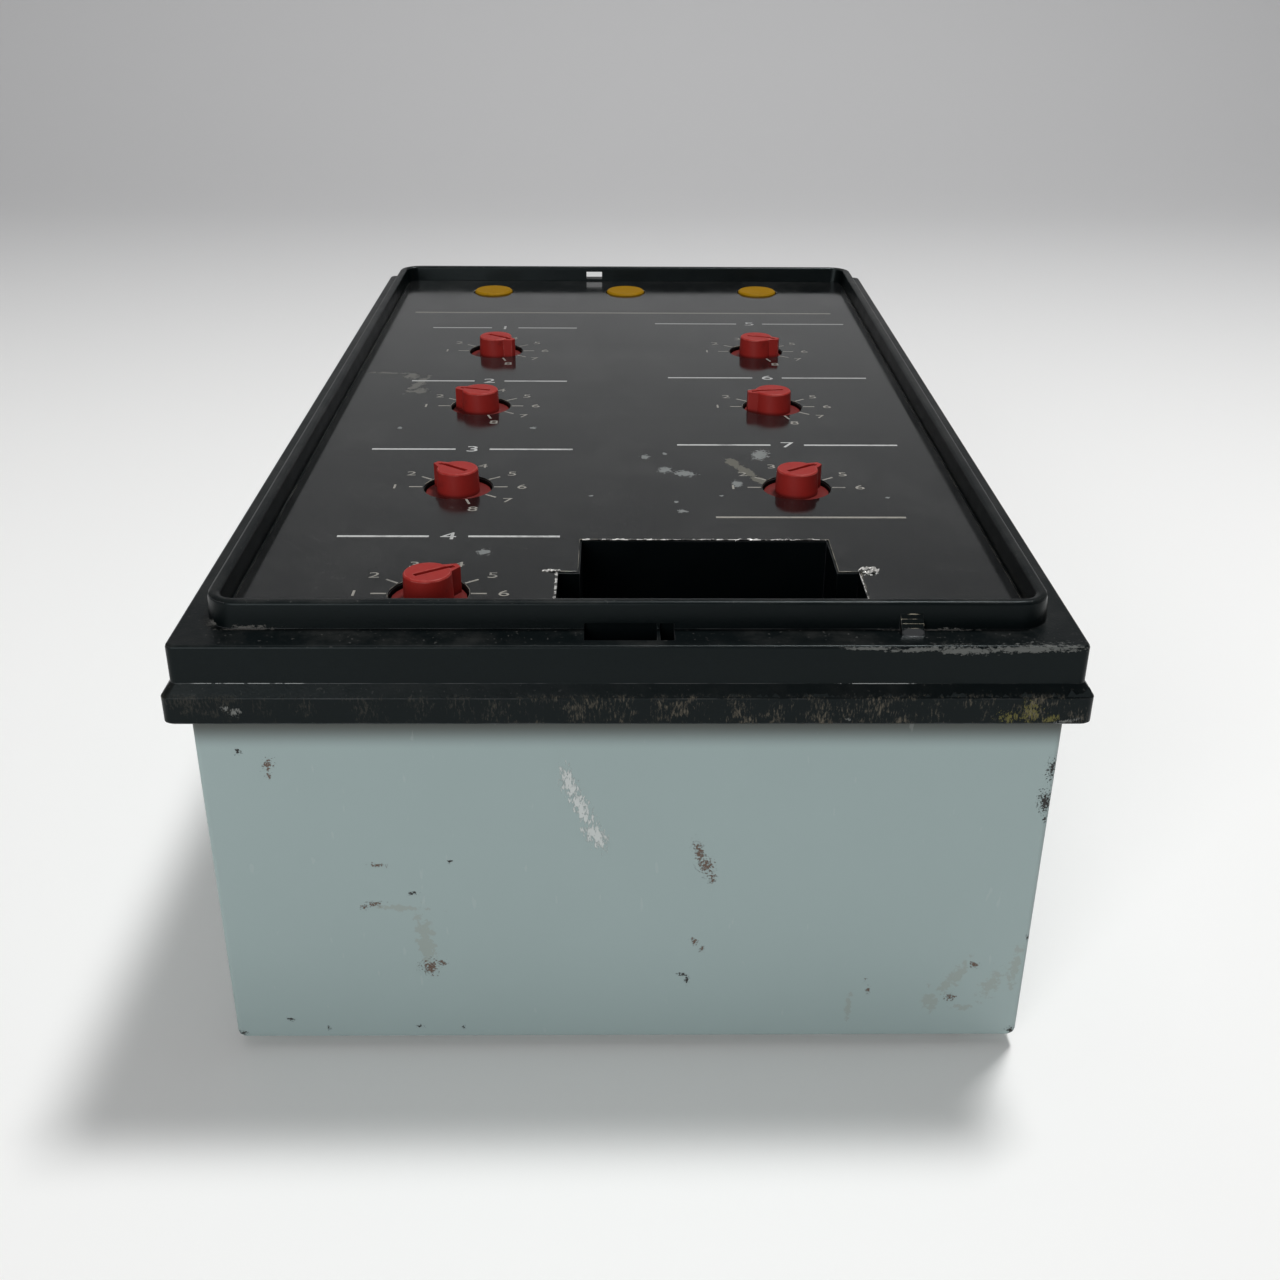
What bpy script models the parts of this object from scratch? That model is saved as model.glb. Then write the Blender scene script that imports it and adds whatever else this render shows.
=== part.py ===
"""Electronic trip unit of a power circuit breaker, lying on its back.

A folded steel can is closed by a moulded front. The front carries a legend film, seven setting dials,
three pop-out trip targets and an open well for a rating plug. Four long columns clamp the can, two circuit
boards and the front together. X runs across the front, Y runs away from the well's end, and Z runs up out
of the front. The origin is the middle of the footprint, on the plane that the case screws' heads stand on.
"""

import math

import bmesh
import bpy

# Clearances
FIT = 0.0003
SLIDE_FIT = 0.0003
GLUE_LINE = 0.00005
OVERCUT = 0.002
MERGE = 0.00001

# Can
FLANGE_WIDTH = 0.1405
FLANGE_LENGTH = 0.2439
FLANGE_OVERHANG = 0.0032
CAN_SHEET = 0.0010
CAN_DEPTH = 0.0638
CAN_TUCK = 0.0035
CAN_CORNER = 0.0009
CAN_SIDE_BEND = 0.0012
CAN_END_BEND = 0.0004
BEND_STEPS = 3

# Front moulding
BAND_HEIGHT = 0.0045
BAND_CORNER = 0.0014
BAND_CHAMFER = 0.0003
SHOULDER_RISE = 0.0019
WALL_SETBACK = 0.00135
WALL_RISE = 0.00625
WALL_CORNER = 0.0012
WALL_EDGE_ROUND = 0.0005
MOULDING_WALL = 0.0022
CAVITY_CORNER = 0.0016
RIM_SIDE_MARGIN = 0.00445
RIM_END_MARGIN = 0.00605
RIM_RISE = 0.00435
RIM_THICKNESS = 0.0019
RIM_DRAFT = 0.0002
RIM_CORNER = 0.0050
RIM_INNER_CORNER = 0.0030
RIM_ROUND = 0.0006
PANEL_DROP = 0.0041
FLOOR_THICKNESS = 0.0025
RIB_THICKNESS = 0.0015
RIB_DEPTH = 0.0040
CORNER_STEPS = 5
ROUND_STEPS = 3

# Details of the near and far ends of the moulding
LEDGE_SLOT_WIDTH = 0.0136
LEDGE_SLOT_LENGTH = 0.0038
LEDGE_SLOT_INTO_RIM = 0.0008
LEDGE_SLOT_RISE = 0.0009
LEDGE_SLOT_WEB = 0.0005
LEDGE_SLOT_WEB_OFFSET = 0.0044
CATCH_WIDTH = 0.0034
CATCH_OFFSET = 0.0428
CATCH_REACH = 0.0024
CATCH_SLOPE = 0.0007
CATCH_FOOT = 0.0010
CATCH_RISE = 0.0025
CATCH_GROOVE = 0.0003
CATCH_TEETH = 3
RIM_HOLE_WIDTH = 0.0045
RIM_HOLE_HEIGHT = 0.0020
RIM_HOLE_OFFSET = 0.0090
RIM_HOLE_RAISE = 0.0008

# Rating plug well
WELL_CENTRE = 0.0131
WELL_NARROW = 0.0422
WELL_WIDE = 0.0493
WELL_FAR_LENGTH = 0.0135
WELL_NEAR_LENGTH = 0.0168
WELL_RIM_GAP = 0.0009
WELL_DEPTH = 0.0200
WELL_WALL = 0.0016
SOCKET_LENGTH = 0.0230
SOCKET_WIDTH = 0.0064
SOCKET_STAND = 0.0035
SOCKET_PLATE_LENGTH = 0.0320
SOCKET_PLATE_WIDTH = 0.0130
SOCKET_PLATE = 0.0030
SOCKET_SLOT_LENGTH = 0.0018
SOCKET_SLOT_WIDTH = 0.0032
SOCKET_SLOT_DEPTH = 0.0025
SOCKET_SLOTS = 6
SOCKET_PITCH = 0.0034

# Legend film
LEGEND_THICKNESS = 0.00025
LEGEND_RIM_GAP = 0.0004
LEGEND_HOLE_MARGIN = 0.0001
LEGEND_WELL_MARGIN = 0.0003

# Setting dials
DIAL_COLUMN = 0.0317
DIAL_NEAR_INSET = 0.0187
DIAL_NEAR_PITCH = 0.0475
DIAL_MIDDLE_PITCH = 0.0495
DIAL_FAR_PITCH = 0.0440
DIAL_HOLE_RADIUS = 0.0064
DIAL_RISE = 0.0038
DIAL_RADIUS = 0.00385
DIAL_BASE_FLARE = 0.00015
DIAL_EDGE = 0.00025
DIAL_SKIRT = 0.0012
DIAL_SKIRT_DROP = 0.0009
DIAL_SHAFT_RADIUS = 0.0025
DIAL_SHAFT_REACH = 0.0033
BEAK_REACH = 0.00555
BEAK_ROOT = 0.0058
BEAK_TIP = 0.0013
DIAL_SLOT_WIDTH = 0.0009
DIAL_SLOT_LENGTH = 0.0070
DIAL_SLOT_DEPTH = 0.0009
DIAL_SLOT_SHIFT = 0.0012
DIAL_SEGMENTS = 24
POINTER_LEFT_COLUMN = (-36.0, 162.0, 142.0, 33.0)
POINTER_RIGHT_COLUMN = (-18.0, 188.0, 36.0)

# Coding switches under the dials
SWITCH_SIDE = 0.0126
SWITCH_CHAMFER = 0.0010
SWITCH_SOCKET_SPARE = 0.0008
SWITCH_FOOT = 0.0020
SWITCH_FOOT_HEIGHT = 0.0006

# Trip targets
TARGET_COLUMN = 0.0370
TARGET_INSET = 0.0232
TARGET_RADIUS = 0.00525
TARGET_RISE = 0.0006
TARGET_CAP = 0.0026
TARGET_EDGE = 0.0004
TARGET_STEM_RADIUS = 0.0018
TARGET_STEM_REACH = 0.0050
TARGET_SEGMENTS = 24
COIL_SIDE = 0.0130
COIL_CHAMFER = 0.0012
SPRING_LENGTH = 0.0036
SPRING_RADIUS = 0.0032
SPRING_WIRE = 0.00022
SPRING_TURNS = 3.5
SPRING_POINTS_PER_TURN = 8

# Circuit boards and the columns that carry them
BOARD_THICKNESS = 0.0016
BOARD_MARGIN = 0.0020
BOARD_WELL_GAP = 0.0008
SWITCH_BOARD_DROP = 0.0086
SPACER_LENGTH = 0.0090
COLUMN_SIDE_INSET = 0.01325
COLUMN_END_INSET = 0.0180
BOSS_RADIUS = 0.0040
STUD_RADIUS = 0.0015
STUD_REACH = 0.0060
STANDOFF_RADIUS = 0.0046
SPACER_RADIUS = 0.0042
SCREW_RADIUS = 0.0020
SCREW_HEAD_RADIUS = 0.0039
SCREW_HEAD = 0.0019
SCREW_HEAD_ROUND = 0.0006
SCREW_GRIP = 0.0110
COLUMN_SEGMENTS = 16

# Rear connector and guides
CONNECTOR_LENGTH = 0.0580
CONNECTOR_WIDTH = 0.0120
CONNECTOR_CHAMFER = 0.0008
CONNECTOR_CONTACTS = 10
CONTACT_PITCH = 0.0050
CONTACT_ROW_PITCH = 0.0050
CONTACT_SIDE = 0.0015
CONTACT_DEPTH = 0.0040
GUIDE_OFFSET = 0.0400
GUIDE_BORE = 0.0026
GUIDE_RADIUS = 0.0042
GUIDE_COLLAR = 0.0055
GUIDE_COLLAR_HEIGHT = 0.0012
GUIDE_LENGTH = 0.0060

# Parts on the main board
TRANSFORMER_WIDTH = 0.0240
TRANSFORMER_CORE = 0.0090
TRANSFORMER_HEIGHT = 0.0180
TRANSFORMER_WINDING = 0.0140
TRANSFORMER_WINDING_DEPTH = 0.0170
TRANSFORMER_WINDING_HEIGHT = 0.0110
TRANSFORMER_EDGE = 0.0299
TRANSFORMER_ROW = -0.0550
CAPACITOR_RADIUS = 0.0090
CAPACITOR_HEIGHT = 0.0300
CAPACITOR_GROOVE = 0.0008
CAPACITOR_SPACING = 0.0300
CAPACITOR_ROW = 0.0500
CHIP_LENGTH = 0.0520
CHIP_WIDTH = 0.0138
CHIP_HEIGHT = 0.0040
CHIP_LEGS = 14
CHIP_LEG_WIDTH = 0.0012
CHIP_LEG_REACH = 0.0014
CHIP_LEG_THICKNESS = 0.0005
CHIP_ROW = -0.0100
HEADER_LENGTH = 0.0280
HEADER_WIDTH = 0.0070
HEADER_HEIGHT = 0.0080
HEADER_ROW = 0.0200
RIBBON_WIDTH = 0.0240
RIBBON_THICKNESS = 0.0009
RIBBON_BULGE = 0.0080
RIBBON_STEPS = 12

# Levels worked out from the sizes above
CAN_BACK = SCREW_HEAD + FIT
CAN_FLOOR = CAN_BACK + CAN_SHEET
FLANGE_UNDERSIDE = CAN_BACK + CAN_DEPTH
CAN_TOP = FLANGE_UNDERSIDE + CAN_TUCK
CAN_SEAT = CAN_TOP + FIT
BAND_TOP = FLANGE_UNDERSIDE + BAND_HEIGHT
WALL_FOOT = BAND_TOP + SHOULDER_RISE
LEDGE = WALL_FOOT + WALL_RISE
RIM_TOP = LEDGE + RIM_RISE
FLOOR_TOP = RIM_TOP - PANEL_DROP
FLOOR_UNDERSIDE = FLOOR_TOP - FLOOR_THICKNESS
LEGEND_BOTTOM = FLOOR_TOP + GLUE_LINE
LEGEND_TOP = LEGEND_BOTTOM + LEGEND_THICKNESS
WELL_FLOOR = FLOOR_TOP - WELL_DEPTH
WELL_UNDERSIDE = WELL_FLOOR - WELL_WALL
SWITCH_BOARD_TOP = FLOOR_UNDERSIDE - SWITCH_BOARD_DROP
SWITCH_BOARD_BOTTOM = SWITCH_BOARD_TOP - BOARD_THICKNESS
SWITCH_BOTTOM = SWITCH_BOARD_TOP + FIT
SWITCH_TOP = FLOOR_UNDERSIDE - FIT
MAIN_BOARD_BOTTOM = CAN_FLOOR + FIT + SPACER_LENGTH + FIT
MAIN_BOARD_TOP = MAIN_BOARD_BOTTOM + BOARD_THICKNESS
DIAL_TOP = LEGEND_TOP + DIAL_RISE
SKIRT_TOP = LEGEND_TOP - DIAL_SKIRT_DROP
SKIRT_BOTTOM = SKIRT_TOP - DIAL_SKIRT
SHAFT_BOTTOM = SWITCH_TOP - DIAL_SHAFT_REACH
TARGET_TOP = LEGEND_TOP + TARGET_RISE
TARGET_UNDERSIDE = TARGET_TOP - TARGET_CAP
COIL_TOP = TARGET_UNDERSIDE - FIT - SPRING_LENGTH - FIT

# Plan sizes worked out from the sizes above
CAN_WIDTH = FLANGE_WIDTH - 2 * FLANGE_OVERHANG
CAN_LENGTH = FLANGE_LENGTH - 2 * FLANGE_OVERHANG
CAN_INNER_WIDTH = CAN_WIDTH - 2 * CAN_SHEET
CAN_INNER_LENGTH = CAN_LENGTH - 2 * CAN_SHEET
WALL_WIDTH = FLANGE_WIDTH - 2 * WALL_SETBACK
WALL_LENGTH = FLANGE_LENGTH - 2 * WALL_SETBACK
RIM_WIDTH = WALL_WIDTH - 2 * RIM_SIDE_MARGIN
RIM_LENGTH = WALL_LENGTH - 2 * RIM_END_MARGIN
PANEL_WIDTH = RIM_WIDTH - 2 * (RIM_THICKNESS + RIM_DRAFT)
PANEL_LENGTH = RIM_LENGTH - 2 * (RIM_THICKNESS + RIM_DRAFT)
CAVITY_WIDTH = WALL_WIDTH - 2 * MOULDING_WALL
CAVITY_LENGTH = WALL_LENGTH - 2 * MOULDING_WALL
BOARD_WIDTH = CAN_INNER_WIDTH - 2 * BOARD_MARGIN
BOARD_LENGTH = CAN_INNER_LENGTH - 2 * BOARD_MARGIN
WELL_NEAR = -PANEL_LENGTH / 2 + WELL_RIM_GAP
WELL_STEP = WELL_NEAR + WELL_NEAR_LENGTH
WELL_FAR = WELL_STEP + WELL_FAR_LENGTH
COLUMN_X = FLANGE_WIDTH / 2 - COLUMN_SIDE_INSET
COLUMN_Y = FLANGE_LENGTH / 2 - COLUMN_END_INSET
TARGET_Y = FLANGE_LENGTH / 2 - TARGET_INSET

# Finishes: colour, roughness and metallic value
FINISHES = {
    "can_paint": ((0.26, 0.33, 0.33), 0.45, 0.0),
    "black_moulding": ((0.012, 0.012, 0.013), 0.40, 0.0),
    "legend_film": ((0.020, 0.021, 0.022), 0.18, 0.0),
    "dial_red": ((0.42, 0.015, 0.012), 0.45, 0.0),
    "target_yellow": ((0.72, 0.42, 0.010), 0.45, 0.0),
    "board_green": ((0.02, 0.12, 0.05), 0.45, 0.0),
    "switch_body": ((0.05, 0.05, 0.06), 0.50, 0.0),
    "socket_body": ((0.03, 0.03, 0.03), 0.50, 0.0),
    "bright_steel": ((0.55, 0.55, 0.55), 0.30, 1.0),
    "brass": ((0.70, 0.50, 0.20), 0.30, 1.0),
    "core_steel": ((0.20, 0.20, 0.21), 0.50, 0.8),
    "capacitor_sleeve": ((0.02, 0.04, 0.12), 0.35, 0.0),
    "ribbon_grey": ((0.40, 0.40, 0.42), 0.50, 0.0),
}


def new_collection(name, hidden=False):
    """A collection under the scene's own, left out of renders if hidden."""
    made = bpy.data.collections.new(name)
    made.hide_render = hidden
    bpy.context.scene.collection.children.link(made)
    return made


def clear_scene():
    """Remove every object that the file starts with."""
    for old in list(bpy.data.objects):
        bpy.data.objects.remove(old, do_unlink=True)


clear_scene()
PARTS = new_collection("electronic_trip_unit")
CUTTERS = new_collection("cutters", hidden=True)


def finish(name):
    """The named finish as a Principled material, made on first use."""
    made = bpy.data.materials.get(name)
    if made:
        return made
    colour, roughness, metallic = FINISHES[name]
    made = bpy.data.materials.new(name)
    made.use_nodes = True
    shader = made.node_tree.nodes["Principled BSDF"]
    shader.inputs["Base Color"].default_value = (*colour, 1.0)
    shader.inputs["Roughness"].default_value = roughness
    shader.inputs["Metallic"].default_value = metallic
    made.diffuse_color = (*colour, 1.0)
    return made


def mesh_of(name, shape):
    """Turn a bmesh into mesh data with outward normals."""
    bmesh.ops.recalc_face_normals(shape, faces=shape.faces)
    data = bpy.data.meshes.new(name)
    shape.to_mesh(data)
    shape.free()
    return data


def piece(name, data, finish_name, location=(0, 0, 0), turn=0.0):
    """A visible part, placed by its location and its turn about Z in degrees."""
    made = bpy.data.objects.new(name, data)
    if not data.materials:
        data.materials.append(finish(finish_name))
    made.location = location
    made.rotation_euler = (0, 0, math.radians(turn))
    PARTS.objects.link(made)
    return made


def helper(name, data, location=(0, 0, 0), turn=0.0):
    """A hidden shape that is cut from a part or joined to it."""
    made = bpy.data.objects.new(name, data)
    made.location = location
    made.rotation_euler = (0, 0, math.radians(turn))
    made.hide_render = True
    made.display_type = "WIRE"
    CUTTERS.objects.link(made)
    return made


def combine(target, other, operation):
    """Add a Boolean of the target with another object."""
    step = target.modifiers.new(f"{operation.lower()}_{other.name}", "BOOLEAN")
    step.operation = operation
    step.object = other
    step.solver = "EXACT"


def cut(target, *others):
    """Cut each of the other shapes out of the target."""
    for other in others:
        combine(target, other, "DIFFERENCE")


def join(target, *others):
    """Join each of the other shapes to the target."""
    for other in others:
        combine(target, other, "UNION")


def finished_mesh(pattern):
    """The mesh of a helper after its modifiers, for pieces that share it."""
    bpy.context.view_layer.update()
    graph = bpy.context.evaluated_depsgraph_get()
    data = bpy.data.meshes.new_from_object(pattern.evaluated_get(graph))
    data.materials.clear()
    shape = bmesh.new()
    shape.from_mesh(data)
    bmesh.ops.remove_doubles(shape, verts=shape.verts, dist=MERGE)
    shape.to_mesh(data)
    shape.free()
    return data


def box(width, length, height, bottom=0.0, chamfer=0.0):
    """A block standing on z = bottom, with its four upright edges chamfered if asked."""
    shape = bmesh.new()
    bmesh.ops.create_cube(shape, size=1.0)
    bmesh.ops.scale(shape, verts=shape.verts, vec=(width, length, height))
    bmesh.ops.translate(shape, verts=shape.verts, vec=(0, 0, bottom + height / 2))
    if chamfer:
        upright = [e for e in shape.edges if abs(e.verts[0].co.z - e.verts[1].co.z) > height / 2]
        bmesh.ops.bevel(shape, geom=upright, offset=chamfer, segments=1, affect="EDGES", profile=0.5)
    return mesh_of("block", shape)


def box_grid(width, length, height, places, bottom=0.0):
    """Separate equal blocks at the (x, y) places, in one mesh."""
    shape = bmesh.new()
    for x, y in places:
        made = bmesh.ops.create_cube(shape, size=1.0)["verts"]
        bmesh.ops.scale(shape, verts=made, vec=(width, length, height))
        bmesh.ops.translate(shape, verts=made, vec=(x, y, bottom + height / 2))
    return mesh_of("blocks", shape)


def cylinder(radius, height, bottom=0.0, segments=DIAL_SEGMENTS):
    """An upright cylinder standing on z = bottom."""
    shape = bmesh.new()
    bmesh.ops.create_cone(
        shape, cap_ends=True, segments=segments, radius1=radius, radius2=radius, depth=height
    )
    bmesh.ops.translate(shape, verts=shape.verts, vec=(0, 0, bottom + height / 2))
    return mesh_of("cylinder", shape)


def prism(outline, bottom, top):
    """A flat outline raised from z = bottom to z = top."""
    shape = bmesh.new()
    face = shape.faces.new([shape.verts.new((x, y, bottom)) for x, y in outline])
    raised = bmesh.ops.extrude_face_region(shape, geom=[face])["geom"]
    lifted = [v for v in raised if isinstance(v, bmesh.types.BMVert)]
    bmesh.ops.translate(shape, verts=lifted, vec=(0, 0, top - bottom))
    return mesh_of("prism", shape)


def side_prism(outline, width):
    """An outline of (y, z) points, carried along X by the width, half to each side."""
    shape = bmesh.new()
    face = shape.faces.new([shape.verts.new((-width / 2, y, z)) for y, z in outline])
    swept = bmesh.ops.extrude_face_region(shape, geom=[face])["geom"]
    moved = [v for v in swept if isinstance(v, bmesh.types.BMVert)]
    bmesh.ops.translate(shape, verts=moved, vec=(width, 0, 0))
    return mesh_of("side_prism", shape)


def turned(name, profile, segments):
    """A helper turned about Z from (radius, z) points that run from the top down the outer side."""
    shape = bmesh.new()
    points = [shape.verts.new((radius, 0, z)) for radius, z in profile]
    for above, below in zip(points, points[1:]):
        shape.edges.new((above, below))
    data = bpy.data.meshes.new(name)
    shape.to_mesh(data)
    shape.free()
    made = helper(name, data)
    screw = made.modifiers.new("turn", "SCREW")
    screw.axis = "Z"
    screw.steps = segments
    screw.render_steps = segments
    screw.use_merge_vertices = True
    screw.merge_threshold = MERGE
    return made


def rounded_rectangle(width, length, radius):
    """Points of a rectangle with round corners, anticlockwise."""
    points = []
    for corner in range(4):
        start = corner * math.pi / 2
        side_x = 1 if corner in (0, 3) else -1
        side_y = 1 if corner in (0, 1) else -1
        centre_x = side_x * (width / 2 - radius)
        centre_y = side_y * (length / 2 - radius)
        for step in range(CORNER_STEPS + 1):
            angle = start + step * math.pi / 2 / CORNER_STEPS
            points.append((centre_x + radius * math.cos(angle), centre_y + radius * math.sin(angle)))
    return points


def loft(sections):
    """A closed skin through rounded rectangles (width, length, corner radius, z), capped at both ends."""
    shape = bmesh.new()
    rings = []
    for width, length, radius, z in sections:
        rings.append([shape.verts.new((x, y, z)) for x, y in rounded_rectangle(width, length, radius)])
    for ring, after in zip(rings, rings[1:]):
        for i, here in enumerate(ring):
            beside = (i + 1) % len(ring)
            shape.faces.new((here, ring[beside], after[beside], after[i]))
    shape.faces.new(rings[0])
    shape.faces.new(rings[-1])
    return mesh_of("loft", shape)


def quarter(steps):
    """(share across, share up) along a quarter round, from its foot to its crown."""
    angles = [step * math.pi / 2 / steps for step in range(steps + 1)]
    return [(1 - math.cos(angle), math.sin(angle)) for angle in angles]


def shade_round(data):
    """Smooth the round faces and keep the sharp edges."""
    data.shade_smooth()
    data.set_sharp_from_angle(angle=math.radians(35))


def dial_places():
    """(x, y, pointer angle) of each dial: the left column from the far row, then the right column."""
    near = -FLANGE_LENGTH / 2 + DIAL_NEAR_INSET
    third = near + DIAL_NEAR_PITCH
    second = third + DIAL_MIDDLE_PITCH
    rows = (second + DIAL_FAR_PITCH, second, third, near)
    left = [(-DIAL_COLUMN, y, angle) for y, angle in zip(rows, POINTER_LEFT_COLUMN)]
    right = [(DIAL_COLUMN, y, angle) for y, angle in zip(rows, POINTER_RIGHT_COLUMN)]
    return left + right


def target_places():
    """(x, y) of each trip target, from left to right."""
    return [(side * TARGET_COLUMN, TARGET_Y) for side in (-1, 0, 1)]


def column_places():
    """(x, y) of each clamping column."""
    return [(side * COLUMN_X, end * COLUMN_Y) for end in (-1, 1) for side in (-1, 1)]


def well_outline(grow=0.0):
    """The well's stepped plan, wide at the near end and narrow at the far end, grown on every side."""
    wide = WELL_WIDE / 2 + grow
    narrow = WELL_NARROW / 2 + grow
    near = WELL_NEAR - grow
    step = WELL_STEP + grow
    far = WELL_FAR + grow
    half = [(wide, near), (wide, step), (narrow, step), (narrow, far)]
    plan = half + [(-x, y) for x, y in reversed(half)]
    return [(WELL_CENTRE + x, y) for x, y in plan]


def enclosure_can():
    """The folded can, from its inner floor up the inside, over the top edge and down the outside."""
    inner_bend = CAN_SIDE_BEND / 4
    inner_corner = CAN_CORNER / 2
    sections = [
        (CAN_INNER_WIDTH - 2 * inner_bend, CAN_INNER_LENGTH, inner_corner, CAN_FLOOR),
        (CAN_INNER_WIDTH, CAN_INNER_LENGTH, inner_corner, CAN_FLOOR + inner_bend),
        (CAN_INNER_WIDTH, CAN_INNER_LENGTH, inner_corner, CAN_TOP),
    ]
    sections.append((CAN_WIDTH, CAN_LENGTH, CAN_CORNER, CAN_TOP))
    for across, drop in quarter(BEND_STEPS):
        width = CAN_WIDTH - 2 * CAN_SIDE_BEND * across
        length = CAN_LENGTH - 2 * CAN_END_BEND * across
        sections.append((width, length, CAN_CORNER, CAN_BACK + CAN_SIDE_BEND * (1 - drop)))
    can = piece("enclosure_can", loft(sections), "can_paint")
    through = CAN_SHEET + 2 * OVERCUT
    below = CAN_BACK - OVERCUT
    holes = [helper("can_connector_hole", connector_block(through, FIT, below))]
    for side in (-1, 1):
        guide = cylinder(GUIDE_RADIUS + FIT, through, below, COLUMN_SEGMENTS)
        holes.append(helper("can_guide_hole", guide, (side * GUIDE_OFFSET, 0, 0)))
    for x, y in column_places():
        hole = cylinder(SCREW_RADIUS + FIT, through, below, COLUMN_SEGMENTS)
        holes.append(helper("can_screw_hole", hole, (x, y, 0)))
    cut(can, *holes)


def moulding_sections():
    """Sections of the front from the cavity's ceiling, down and out, up the outside and over the rim."""
    mouth_width = CAN_WIDTH + 2 * FIT
    mouth_length = CAN_LENGTH + 2 * FIT
    mouth_corner = CAN_CORNER + FIT
    sections = [
        (CAVITY_WIDTH, CAVITY_LENGTH, CAVITY_CORNER, FLOOR_UNDERSIDE),
        (CAVITY_WIDTH, CAVITY_LENGTH, CAVITY_CORNER, CAN_SEAT),
        (mouth_width, mouth_length, mouth_corner, CAN_SEAT),
        (mouth_width, mouth_length, mouth_corner, FLANGE_UNDERSIDE),
        (FLANGE_WIDTH - 2 * BAND_CHAMFER, FLANGE_LENGTH - 2 * BAND_CHAMFER, BAND_CORNER, FLANGE_UNDERSIDE),
        (FLANGE_WIDTH, FLANGE_LENGTH, BAND_CORNER, FLANGE_UNDERSIDE + BAND_CHAMFER),
        (FLANGE_WIDTH, FLANGE_LENGTH, BAND_CORNER, BAND_TOP),
        (WALL_WIDTH, WALL_LENGTH, WALL_CORNER, WALL_FOOT),
    ]
    for across, up in quarter(ROUND_STEPS):
        inset = 2 * WALL_EDGE_ROUND * across
        level = LEDGE - WALL_EDGE_ROUND * (1 - up)
        sections.append((WALL_WIDTH - inset, WALL_LENGTH - inset, WALL_CORNER, level))
    flare = 2 * RIM_DRAFT
    sections.append((RIM_WIDTH + flare, RIM_LENGTH + flare, RIM_CORNER, LEDGE))
    for across, up in quarter(ROUND_STEPS):
        inset = 2 * RIM_ROUND * across
        level = RIM_TOP - RIM_ROUND * (1 - up)
        sections.append((RIM_WIDTH - inset, RIM_LENGTH - inset, RIM_CORNER, level))
    for across, up in reversed(quarter(ROUND_STEPS)):
        inset = 2 * (RIM_THICKNESS - RIM_ROUND * across)
        level = RIM_TOP - RIM_ROUND * (1 - up)
        sections.append((RIM_WIDTH - inset, RIM_LENGTH - inset, RIM_INNER_CORNER, level))
    sections.append((PANEL_WIDTH, PANEL_LENGTH, RIM_INNER_CORNER, FLOOR_TOP))
    return sections


def catch_outline():
    """Side view of the cover catch on the near rim: a sloped foot, then teeth that climb to the wall."""
    into_wall = RIM_THICKNESS / 2
    crest = -CATCH_REACH + CATCH_SLOPE
    run = -crest / CATCH_TEETH
    rise = (CATCH_RISE - CATCH_FOOT) / CATCH_TEETH
    points = [(into_wall, -CATCH_FOOT), (-CATCH_REACH, -CATCH_FOOT), (-CATCH_REACH, 0)]
    for tooth in range(CATCH_TEETH):
        tip = (crest + tooth * run, CATCH_FOOT + tooth * rise)
        points += [tip, (tip[0] + run / 3, tip[1] - CATCH_GROOVE)]
    return points + [(0, CATCH_RISE), (into_wall, CATCH_RISE)]


def moulding_additions():
    """Bosses, well walls, ribs and the cover catch, which are moulded with the front."""
    into_floor = FLOOR_THICKNESS / 2
    top = FLOOR_UNDERSIDE + into_floor
    boss_bottom = SWITCH_BOARD_TOP + FIT
    added = [helper("well_walls", prism(well_outline(WELL_WALL), WELL_UNDERSIDE, top))]
    for x, y in column_places():
        boss = cylinder(BOSS_RADIUS, top - boss_bottom, boss_bottom, COLUMN_SEGMENTS)
        added.append(helper("boss", boss, (x, y, 0)))
    rows = sorted({y for _, y, _ in dial_places()})
    rib_bottom = FLOOR_UNDERSIDE - RIB_DEPTH
    cross = CAVITY_WIDTH + MOULDING_WALL
    for here, beyond in zip(rows[1:], rows[2:]):
        rib = box(cross, RIB_THICKNESS, top - rib_bottom, rib_bottom)
        added.append(helper("cross_rib", rib, (0, (here + beyond) / 2, 0)))
    catch = side_prism(catch_outline(), CATCH_WIDTH)
    added.append(helper("cover_catch", catch, (CATCH_OFFSET, -RIM_LENGTH / 2 - RIM_DRAFT, LEDGE)))
    return added


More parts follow.
